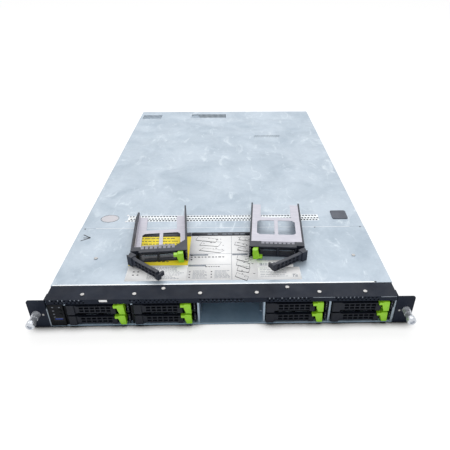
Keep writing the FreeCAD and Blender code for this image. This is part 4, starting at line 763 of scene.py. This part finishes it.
def line_drawing(bm, rng, x, y, count):
    """A generic drawing in thin strokes: slanted plates with small blocks beside them."""
    width, depth = x[1] - x[0], y[1] - y[0]
    for i in range(count):
        left = x[0] + width * rng.uniform(0.02, 0.3)
        low = y[0] + depth * (i + 0.35) / count
        across = (width * rng.uniform(0.45, 0.6), -depth * rng.uniform(0.08, 0.2))
        back = (width * rng.uniform(0.05, 0.12), depth * rng.uniform(0.15, 0.3))
        plate = [(left, low), (left + across[0], low + across[1])]
        plate += [(plate[1][0] + back[0], plate[1][1] + back[1]), (left + back[0], low + back[1])]
        for a, b in zip(plate, plate[1:] + plate[:1]):
            add_stroke(bm, a, b, 0.42, PRINT)
        add_stroke(bm, plate[0], plate[1], 1.2, PRINT)
        for _ in range(3):
            at_x = x[0] + width * rng.uniform(0.15, 0.9)
            at_y = low + depth / count * rng.uniform(-0.2, 0.45)
            block_x = (at_x, at_x + rng.uniform(1.2, 3.4))
            block_y = (at_y, at_y + rng.uniform(0.8, 1.5))
            add_box(bm, *area(block_x, block_y, PRINT))


def sheet_grounds():
    """The sheet's white, yellow and dark areas, with the bars that stand for its title."""
    boxes("sheet_white", [area(x, y, PAPER) for x, y in SHEET_WHITES], WHITE_PAPER, "chassis")
    boxes("sheet_yellow", [area(*SHEET_YELLOW, PAPER)], YELLOW_PAPER, "chassis")
    boxes("sheet_headers", [area(x, y, PAPER) for x, y in SHEET_HEADERS], INK, "chassis")
    boxes("sheet_title_bars", marks(TITLE_LEFTS, (147,), 7.2, 2.6), GREY_MARK_AND_GLINT, "chassis")


def dark_print(rng):
    """The sheet's heavier lines and squares."""
    bars = marks((-120, -114), (47, 54), 2.4, 2)
    bars += text_lines(rng, (-125, -60), (75, 138), 7.4, 1.7, (3.0, 9.0))
    bars += text_lines(rng, (-40, 8), (86.5, 89), 9, 2.0, (2.0, 4.0))
    bars += marks((-45,), (81, 86.5, 91), 2.4, 2.4)
    bars += marks((-45, -16), (41, 47, 53), 1.8, 1.9)
    bars += text_lines(rng, (-24, 4), (62, 66), 3.2, 1.4, (1.5, 3.5))
    boxes("sheet_print_dark", bars, INK, "chassis")


def grey_print(rng):
    """The sheet's small print, subtitles, rules and a row of stripes."""
    bars = text_lines(rng, (-100, -52), (39, 65), 2.5, 0.8, (1.2, 4.0))
    for x in ((-40, -19), (-11, 10)):
        bars += text_lines(rng, x, (39, 56), 2.6, 0.8)
    bars += text_lines(rng, (50, 92), (39, 61), 3.6, 0.8, (2.0, 7.0))
    for left, front, width in SUBTITLES:
        bars += marks((left,), (front,), width, 3.4)
    bars += [area(x, y, PRINT) for x, y in RULES]
    left = 50.5
    while left < 66:
        thick = rng.choice((0.5, 0.9, 1.4))
        bars.append(area((left, left + thick), (66.5, 72.5), PRINT))
        left += thick + rng.choice((0.6, 1.0))
    bars += marks((74, 80, 86), (66.8,), 3.2, 3.6)
    cells = marks([93 + 1.6 * i for i in range(4)], [41 + 1.7 * j for j in range(4)], 1.2, 1.2)
    bars += [cell for cell in cells if rng.random() < 0.65]
    boxes("sheet_print_grey", bars, GREY_MARK_AND_GLINT, "chassis")


def instruction_sheet():
    """The sheet on the front cover, with bars and plain drawings for its print, and a pen mark beside it."""
    rng = random.Random(11)
    sheet_grounds()
    dark_print(rng)
    grey_print(rng)
    bm = bmesh.new()
    for x, y, count in DRAWINGS:
        line_drawing(bm, rng, x, y, count)
    piece("sheet_drawings", finish_mesh(bm, "sheet_drawings"), INK, "chassis")
    bm = bmesh.new()
    for start, end in PEN_STROKES:
        add_stroke(bm, start, end, 1.6, PRINT)
    piece("pen_mark", finish_mesh(bm, "pen_mark"), INK, "chassis")


# The ears' thumbscrews. Depths run backwards along Y from the case's front, where Y is 0.

KNOB_RADIUS = 5.5
COLLAR_RADIUS = 4.5
COLLAR_BACK = -11.2
SHANK_RADIUS = 2.4
THREAD_RADII = (2.5, 2.15)
THREAD_PITCH = 0.8
FERRULE = ((4.5, -11.0), (4.8, -10.8), (4.8, -3.6), (5.4, -2.6), (5.4, -1.98), (4.5, -1.98))
RIVET_DOME = ((1.5, -2.02), (1.3, -2.4), (0.7, -2.75), (0.2, -2.8))
RIVET_PLACE = (224.2, 20.5)


def along_y(x, z):
    """A placement whose Z axis runs backwards along the case's Y axis."""
    return Matrix.Translation(Vector((x, 0, z)) * MM) @ Matrix.Rotation(-math.pi / 2, 4, "X")


def screw_profile(tip, end):
    """A thumbscrew's outline, from its tip: recess, knurled knob, collar, shank and thread."""
    profile = [(SHANK_RADIUS, tip + 1.6), (2.9, tip), (4.7, tip), (KNOB_RADIUS - 0.1, tip + 0.8)]
    profile += [(KNOB_RADIUS, tip + 1.6), (KNOB_RADIUS, tip + 6.6), (5.2, tip + 7.4)]
    profile += [(COLLAR_RADIUS, tip + 8.6), (COLLAR_RADIUS, COLLAR_BACK - 0.3), (4.2, COLLAR_BACK)]
    profile += [(SHANK_RADIUS, COLLAR_BACK), (SHANK_RADIUS, 0.2)]
    depth = THREAD_PITCH / 2
    while depth < end - 1:
        profile += [(THREAD_RADII[0], depth), (THREAD_RADII[1], depth + THREAD_PITCH / 2)]
        depth += THREAD_PITCH
    return profile + [(2.3, end - 0.5), (1.7, end)]


def thumbscrew(side, sign):
    """A captive thumbscrew, the bright ferrule that it turns in and the rivet beside it."""
    node = "thumbscrew_" + side
    x, (tip, end), z = span(node)
    place = along_y(sum(x) / 2, sum(z) / 2)
    screw = turned_mesh("thumbscrew", screw_profile(tip, end), place, 36, knurl=0.22, knurled=(3, 4, 5))
    piece(node + "_skin", screw, BRIGHT, BODY_OF[node], stands_for=[node], slot="bright_metal")
    piece("ferrule_" + side, turned_mesh("ferrule", FERRULE, place, 32, hollow=True), BRIGHT, "chassis")
    rivet = turned_mesh("ear_rivet", RIVET_DOME, along_y(sign * RIVET_PLACE[0], RIVET_PLACE[1]), 14)
    piece("ear_rivet_" + side, rivet, SCREW, "chassis")


# The cage and the control panel

FIRST_DIVIDER = -198.15
COLUMN_PITCH = 83.15
# Up to here the dividers' front edges take the panel's black: painted shade
SHADED_EDGES_TO = FIRST_DIVIDER + 1.5 * COLUMN_PITCH
CAGE_FRONT = 1.3
CAGE_TOP = 35
SOCKETS_BACK = 12.0
LAMP_X = (-211, -202.6)
LAMP_Z = (31.6, 26, 20.6)
LAMPS = [(LAMP_X[0], z) for z in LAMP_Z] + [(LAMP_X[1], LAMP_Z[0]), (LAMP_X[0], 16.0)]
WALL_EDGES = (
    ((-218.72, -217.6), (-2.2, 0.9), (1.0, 30.0)), ((215.45, 218.55), (-0.9, 0.3), (0.6, 25.0)),
    ((216.6, 218.55), (-0.9, 0.3), (25.0, 36.0)),
)


def drive_cage():
    """The cage, with the front edges of its first two dividers dark: painted shade behind the levers."""

    def is_shaded_edge(c):
        return c.y < CAGE_FRONT and c.x < SHADED_EDGES_TO and c.z < CAGE_TOP

    dress_parts("drive_cage", CAGE, PANEL_AND_SHADE, is_shaded_edge, 0.2, "cage_steel")


def control_panel():
    """The panel with its buttons, its board, the bright wall edges, lamps and the tongue of its socket."""
    dress("control_panel", PANEL_AND_SHADE, 0.25, "panel_plastic")
    for node in ("power_button", "id_button"):
        dress(node, PANEL_AND_SHADE, 0.2, "panel_plastic")
    dress_parts("panel_board", BOARD, CONNECTOR, lambda c: c.y < SOCKETS_BACK, 0.1, "circuit_board")
    boxes("wall_edges", [area(*edge) for edge in WALL_EDGES], STEEL_EDGE, "chassis", 0.15)
    face = span("control_panel")[1][0]
    lenses = [area((x - 1.2, x + 1.2), (face - 0.08, face + 0.4), (z - 0.55, z + 0.55)) for x, z in LAMPS]
    boxes("panel_lamps", lenses, PALE_LAMP, "chassis", 0.15)
    # The socket's blue tongue glows: painted glow
    boxes("usb_tongue", [area((-211.2, -202.0), (-0.9, 8.0), (11.6, 13.6))], BLUE_GLOW, "chassis", 0.1)


# Fans, power supplies and boards

INLET_FRONT = 750
INLET_X = (4.5, 29.5)
INLET_Z = (16.5, 35.5)
INLET_PINS = ((10.5, 22), (16.4, 26), (22.3, 22))
PIN_SIZE = (1.2, 4.5)
GUARD_INSET = 31.0
GUARD_RISE = 2.5
GUARD_RADII = (4, 7.5, 11)
GUARD_WIRE = 0.9
SPOKE = (10.8, 0.5)
BOARD_TOP = 9.6
PORTS_FROM = 750.0
# Each kind of port has a width, a height and its mouths, as half a width and the heights between them
NETWORK_JACK = (15.5, 13.0, ((6.0, (1.4, 9.0)),))
USB_PAIR = (13.5, 15.0, ((5.6, (1.6, 6.0)), (5.6, (8.6, 13.0))))
WIDE_PORT = (31.0, 12.5, ((9.0, (2.0, 10.0)),))
PORTS = ((60, NETWORK_JACK), (78, NETWORK_JACK), (25, USB_PAIR), (42, USB_PAIR), (-5, WIDE_PORT))


def fans():
    """The fan frames and their rotors."""
    dress("fan_frames", FAN, 0.2, "fan_plastic")
    for number in range(1, 5):
        dress(f"fan_rotor_{number}", FAN, 0.15, "fan_plastic")


def power_supply(number):
    """A plug-in supply: steel box, dark handle and inlet with three pins, green latch."""
    node = f"power_supply_{number}"
    left = span(node)[0][0]

    def is_dark(c):
        in_inlet = left + INLET_X[0] < c.x < left + INLET_X[1] and INLET_Z[0] < c.z < INLET_Z[1]
        return c.y > CASE_BACK + 0.4 or (INLET_FRONT < c.y < CASE_BACK - 0.2 and in_inlet)

    dress_parts(node, CAGE, CONNECTOR, is_dark, 0.3, "cage_steel")
    pins = []
    for inset, low in INLET_PINS:
        x = left + inset
        pins.append(area((x, x + PIN_SIZE[0]), (CASE_BACK - 12.5, CASE_BACK - 3), (low, low + PIN_SIZE[1])))
    boxes(f"inlet_pins_{number}", pins, SPRING, BODY_OF[node], 0.2)
    dress(f"supply_latch_{number}", GREEN, 0.4, "green_plastic")


def boards():
    """The system board and the backplane with darker connectors, the memory and the coolers."""

    def is_socket(c):
        return c.z > BOARD_TOP + 0.1 and c.y < PORTS_FROM

    dress_parts("system_board", BOARD, CONNECTOR, is_socket, 0.1, "circuit_board")
    plane = span("drive_backplane")[1][1] - 3.0
    dress_parts("drive_backplane", BOARD, CONNECTOR, lambda c: c.y < plane, 0.1, "circuit_board")
    dress("memory_modules", BOARD, 0.1, "circuit_board")
    dress("processor_coolers", COOLER, 0.15, "cooler_metal")


def port_shells():
    """Bright metal shells round the rear ports, with dark patches in their mouths: the black insides and their
    painted shade in one.
    """
    shells, mouths = [], []
    back = span("system_board")[1][1] + 0.05
    low = BOARD_TOP + 0.05
    for x, (width, height, openings) in PORTS:
        shells.append(area((x - width / 2, x + width / 2), (PORTS_FROM + 2, back - 0.1), (low, low + height)))
        for half, z in openings:
            mouths.append(area((x - half, x + half), (back - 0.4, back + 0.02), (low + z[0], low + z[1])))
    boxes("port_shells", shells, SPRING, BODY_OF["system_board"], 0.3)
    # The mouths are flat dark patches: black insides with painted shade
    boxes("port_mouth_shade", mouths, SHADE_BLACK, BODY_OF["system_board"], 0.1)


def supply_grille(number):
    """The round fan opening in the back of a power supply, drawn as a dark disc of painted shade over the fan
    behind it, with its wire guard.
    """
    node = f"power_supply_{number}"
    (_, right), _, height = span(node)
    x, z = right - GUARD_INSET, sum(height) / 2 + GUARD_RISE
    place = along_y(x, z)
    profile = [(GUARD_RADII[-1], CASE_BACK - 0.4), (GUARD_RADII[-1], CASE_BACK + 0.08)]
    # A flat dark disc stands for the opening: painted shade
    piece(f"supply_vent_shade_{number}", turned_mesh("supply_vent_shade", profile, place, 40), SHADE_BLACK, BODY_OF[node])
    bm = bmesh.new()
    for outer in GUARD_RADII:
        inner = outer - GUARD_WIRE
        wire = [(outer, CASE_BACK), (outer, CASE_BACK + 0.5), (inner, CASE_BACK + 0.5), (inner, CASE_BACK)]
        add_turned(bm, wire, place, 40, hollow=True)
    for reach_x, reach_z in (SPOKE, SPOKE[::-1]):
        spoke_y = (CASE_BACK, CASE_BACK + 0.45)
        add_box(bm, *area((x - reach_x, x + reach_x), spoke_y, (z - reach_z, z + reach_z)))
    piece(f"supply_guard_{number}", finish_mesh(bm, "supply_guard"), SPRING, BODY_OF[node])


# Carriers. Their own frame has its origin at the front left underside.

HINGE_X = 2.5
HINGE = Vector((HINGE_X, 0, 0)) * MM
COMB_REACH = 17.5
COMB_LOW = 1.5
BEZEL_DEPTH = 14.1
DRIVE_BODY = ((3.6, 73.4), (19.3, 119.7), (1.1, 13.6))
DRIVE_LID = ((5.6, 71.4), (21.3, 110.0), (13.6, 14.8))
STATUS_DOTS = ((13.3, 4.2, 12.0, 0.9), (76.0, -4.5, 7.0, 0.5), (76.0, -4.5, 11.0, 0.5))


def carrier_place(frame_node, name):
    """A carrier's own frame, from its joints and its box: x across, y back, z up from its underside."""
    hinge = JOINTS[name + "_hinge"]
    across = Vector(JOINTS[name.replace("lever", "latch") + "_slide"]["axis"])
    up = -Vector(hinge["axis"])
    back = up.cross(across)
    origin = Vector(hinge["pos_m"]) - across * HINGE_X * MM
    low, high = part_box(frame_node)
    origin.z = low.z if up.z > 0 else high.z
    rotation = Matrix((across, back, up)).transposed().to_4x4()
    return Matrix.Translation(origin) @ rotation


def swing(angle):
    """A turn of the lever about its hinge, in the carrier's own frame."""
    return Matrix.Translation(HINGE) @ Matrix.Rotation(-angle, 4, "Z") @ Matrix.Translation(-HINGE)


def opening_of(side):
    """How far a loose carrier's lever stands open at rest."""
    return math.radians(-JOINTS[f"loose_lever_{side}_hinge"]["range_deg"][0])


def tray_mesh(to_local):
    """The sheet tray, with darker spring fingers at its front."""
    mesh = cad_copy("loose_tray_left", to_local)
    mesh.materials.append(TRAY)
    mesh.materials.append(COMB)
    for face in mesh.polygons:
        raised = face.center.y < COMB_REACH * MM and face.center.z > COMB_LOW * MM
        if raised or face.center.y < BEZEL_DEPTH * MM:
            face.material_index = 1
    return mesh


def lever_mesh(to_local, plastic):
    """The lever when closed, with a grey face on the outer side of its block."""
    mesh = cad_copy("loose_lever_left", swing(-opening_of("left")) @ to_local)
    mesh.materials.append(plastic)
    mesh.materials.append(RIBBED)
    outer = min(v.co.x for v in mesh.vertices)
    for face in mesh.polygons:
        if face.normal.x < -0.8 and face.center.x < outer + 0.4 * MM:
            face.material_index = 1
    return mesh


def drive_mesh():
    """A 2.5-inch drive: body with a stepped lid."""
    bm = bmesh.new()
    add_box(bm, *area(*DRIVE_BODY))
    add_box(bm, *area(*DRIVE_LID))
    return finish_mesh(bm, "drive")


def dots_mesh():
    """The status dots of a carrier: one by the hinge and two on the cheek."""
    bm = bmesh.new()
    for x, y, z, radius in STATUS_DOTS:
        place = Matrix.Translation(Vector((x, y, z)) * MM) @ Matrix.Rotation(-math.pi / 2, 4, "X")
        add_turned(bm, [(radius * 0.6, -0.12), (radius, -0.05), (radius, 0.4)], place, 12)
    return finish_mesh(bm, "light_pipes")


def bars_mesh():
    """The bright bars seen through a carrier's front opening."""
    bm = bmesh.new()
    for x in ((17, 35), (39, 57)):
        for z in ((4.4, 6.0), (9.8, 11.6)):
            add_box(bm, *area(x, (8.0, 9.5), z))
    return finish_mesh(bm, "contact_bars")


def carrier_meshes():
    """The meshes that all carriers share, and a frame and a lever for each plastic: the dark one, and its lighter
    copy that paints the top light on the loose carriers.
    """
    to_local = carrier_place("loose_frame_left", "loose_lever_left").inverted()
    shared = {"tray": tray_mesh(to_local), "latch": cad_copy("loose_latch_left", to_local)}
    shared.update(drive=drive_mesh(), dots=dots_mesh(), bars=bars_mesh())
    for kind, plastic in (("installed", DARK), ("loose", TOP_LIT_PLASTIC)):
        shared["frame", kind] = cad_copy("loose_frame_left", to_local)
        shared["lever", kind] = lever_mesh(to_local, plastic)
    return shared


def carrier(meshes, tag, place, nodes, opening=0.0):
    """One carrier's pieces, each riding on its own body. Only a loose one has a tray node, and no drive."""
    body = BODY_OF[nodes["frame"]]
    loose = "tray" in nodes
    # A loose carrier takes the lighter copy of the plastic: painted light
    kind, plastic = ("loose", TOP_LIT_PLASTIC) if loose else ("installed", DARK)

    def add(part, mesh, material, on=body, at=place, **finish):
        piece(f"{tag}_{part}", mesh, material, on, at, **finish)

    add("frame", meshes["frame", kind], plastic, bevel=0.3, stands_for=[nodes["frame"]], slot="dark_plastic")
    trays = [nodes["tray"]] if loose else ()
    add("tray", meshes["tray"], TRAY, bevel=0.12, stands_for=trays, slot="tray_steel")
    if not loose:
        add("drive", meshes["drive"], DRIVE_METAL, bevel=0.5, slot="dark_plastic")
    add("light_pipes", meshes["dots"], GREY_MARK_AND_GLINT)
    add("contact_bars", meshes["bars"], CAGE, bevel=0.15)
    lever, latch = nodes["lever"], nodes["latch"]
    add("lever", meshes["lever", kind], plastic, BODY_OF[lever], place @ swing(opening),
        bevel=0.3, stands_for=[lever], slot="dark_plastic")
    add("latch", meshes["latch"], GREEN, BODY_OF[latch],
        bevel=0.6, stands_for=[latch], slot="green_plastic", segments=3)


def carriers():
    """Eight carriers in the bays, and two loose ones on the covers with their levers open."""
    meshes = carrier_meshes()
    for number in range(1, 9):
        node = f"carrier_{number}"
        nodes = {"frame": node, "lever": f"lever_{number}", "latch": f"latch_{number}"}
        carrier(meshes, node, carrier_place(node, nodes["lever"]), nodes)
    for side in ("left", "right"):
        nodes = {part: f"loose_{part}_{side}" for part in ("frame", "lever", "latch", "tray")}
        place = carrier_place(nodes["frame"], nodes["lever"])
        carrier(meshes, f"loose_{side}", place, nodes, opening_of(side))


# Stage

def camera():
    """The camera, at the place and angle from which the object is shown."""
    data = bpy.data.cameras.new("camera")
    data.lens = CAMERA_LENS
    data.sensor_width = 36
    data.shift_x, data.shift_y = CAMERA_SHIFT
    data.clip_start = 0.01
    level = math.cos(CAMERA_PITCH)
    forward = Vector((-math.sin(CAMERA_YAW) * level, math.cos(CAMERA_YAW) * level, -math.sin(CAMERA_PITCH)))
    right = Vector((math.cos(CAMERA_YAW), math.sin(CAMERA_YAW), 0))
    up = right.cross(forward)
    across = right * math.cos(CAMERA_ROLL) - up * math.sin(CAMERA_ROLL)
    over = right * math.sin(CAMERA_ROLL) + up * math.cos(CAMERA_ROLL)
    obj = bpy.data.objects.new("camera", data)
    rotation = Matrix((across, over, -forward)).transposed().to_4x4()
    obj.matrix_world = Matrix.Translation(Vector(CAMERA_PLACE) * MM) @ rotation
    bpy.context.scene.collection.objects.link(obj)
    bpy.context.scene.camera = obj


def area_light(name, place, target, size, power):
    """A soft rectangular lamp that faces a point. Places and sizes are in metres."""
    data = bpy.data.lights.new(name, "AREA")
    data.shape = "RECTANGLE"
    data.size, data.size_y = size
    data.energy = power
    obj = bpy.data.objects.new(name, data)
    obj.location = place
    obj.rotation_euler = (Vector(target) - Vector(place)).to_track_quat("-Z", "Y").to_euler()
    bpy.context.scene.collection.objects.link(obj)


def worked_out(tree, operation, first, second):
    """The result of a math node over two values, which are sockets or numbers."""
    node = tree.nodes.new("ShaderNodeMath")
    node.operation = operation
    for socket, value in zip(node.inputs, (first, second)):
        if isinstance(value, (int, float)):
            socket.default_value = value
        else:
            tree.links.new(value, socket)
    return node.outputs[0]


def seen_directly(tree):
    """1 for camera, glossy and transmission rays, and 0 for the rest."""
    path = tree.nodes.new("ShaderNodeLightPath")
    seen = path.outputs["Is Camera Ray"]
    for name in ("Is Glossy Ray", "Is Transmission Ray"):
        seen = worked_out(tree, "MAXIMUM", seen, path.outputs[name])
    return seen


def white_world(strength):
    """A white surround that camera, glossy and transmission rays see at full white."""
    world = bpy.data.worlds.new("world")
    bpy.context.scene.world = world
    world.use_nodes = True
    tree = world.node_tree
    background = tree.nodes["Background"]
    background.inputs["Color"].default_value = (1, 1, 1, 1)
    level = tree.nodes.new("ShaderNodeMapRange")
    level.inputs["To Min"].default_value = strength
    level.inputs["To Max"].default_value = 1.0
    tree.links.new(seen_directly(tree), level.inputs["Value"])
    tree.links.new(level.outputs["Result"], background.inputs["Strength"])


def floor_material(share, gain):
    """A white that glows for a share of its light, and darkens close to the object."""
    m = Nodes("floor_white", (0.9, 0.9, 0.9), 0.9)
    m.shader.inputs["Specular IOR Level"].default_value = 0.0
    near = m.add("ShaderNodeAmbientOcclusion", samples=8)
    near.inputs["Distance"].default_value = 16 * MM
    shade = m.levels(near.outputs["AO"], 0.5, 0.95, 0.0, 1.0)
    m.color(shade)
    glow = m.add("ShaderNodeEmission")
    glow.inputs["Color"].default_value = (1, 1, 1, 1)
    m.link(worked_out(m.tree, "MULTIPLY", shade, gain), glow.inputs["Strength"])
    mix = m.add("ShaderNodeMixShader")
    m.link(worked_out(m.tree, "MULTIPLY", seen_directly(m.tree), share), mix.inputs["Fac"])
    m.link(m.shader.outputs["BSDF"], mix.inputs[1])
    m.link(glow.outputs["Emission"], mix.inputs[2])
    m.link(mix.outputs["Shader"], m.tree.nodes["Material Output"].inputs["Surface"])
    return m.material


def white_floor(share, gain):
    """A white floor that keeps part of the object's shadow."""
    bm = bmesh.new()
    bmesh.ops.create_grid(bm, x_segments=1, y_segments=1, size=30)
    mesh = bpy.data.meshes.new("floor")
    bm.to_mesh(mesh)
    bm.free()
    floor = bpy.data.objects.new("floor", mesh)
    bpy.context.scene.collection.objects.link(floor)
    mesh.materials.append(floor_material(share, gain))


# The whole server

dress("chassis_base", ZINC_INSIDE, 0.15, "galvanised_steel")
drive_cage()
front_cover()
rear_cover()
front_top_plate()
instruction_sheet()
for side, sign in (("left", -1), ("right", 1)):
    dress("ear_" + side, BLACK_PAINT, 0.3, "black_paint")
    thumbscrew(side, sign)
dress("cover_button", BUTTON, 0.3, "bright_metal")
dress("cover_screws", SCREW, 0.3, "bright_metal")
control_panel()
fans()
for number in (1, 2):
    power_supply(number)
boards()
port_shells()
for number in (1, 2):
    supply_grille(number)
# The base's front lip, paler than the base: painted highlight on its edge
boxes("base_lip", [area((-216.8, 217.0), (-0.3, 0.5), (0.15, 1.6))], LIP_HIGHLIGHT_STEEL, "chassis", 0.15)
carriers()

camera()
white_world(0.70)
white_floor(0.65, 1.15)
area_light("top_light", (0.1, 1.7, 1.8), (0, 0.75, 0), (2.4, 1.4), 27)
area_light("front_light", (-0.2, -2.0, 1.6), (0, 0.1, 0), (1.4, 1.0), 4)
bpy.context.scene.view_settings.view_transform = "Standard"
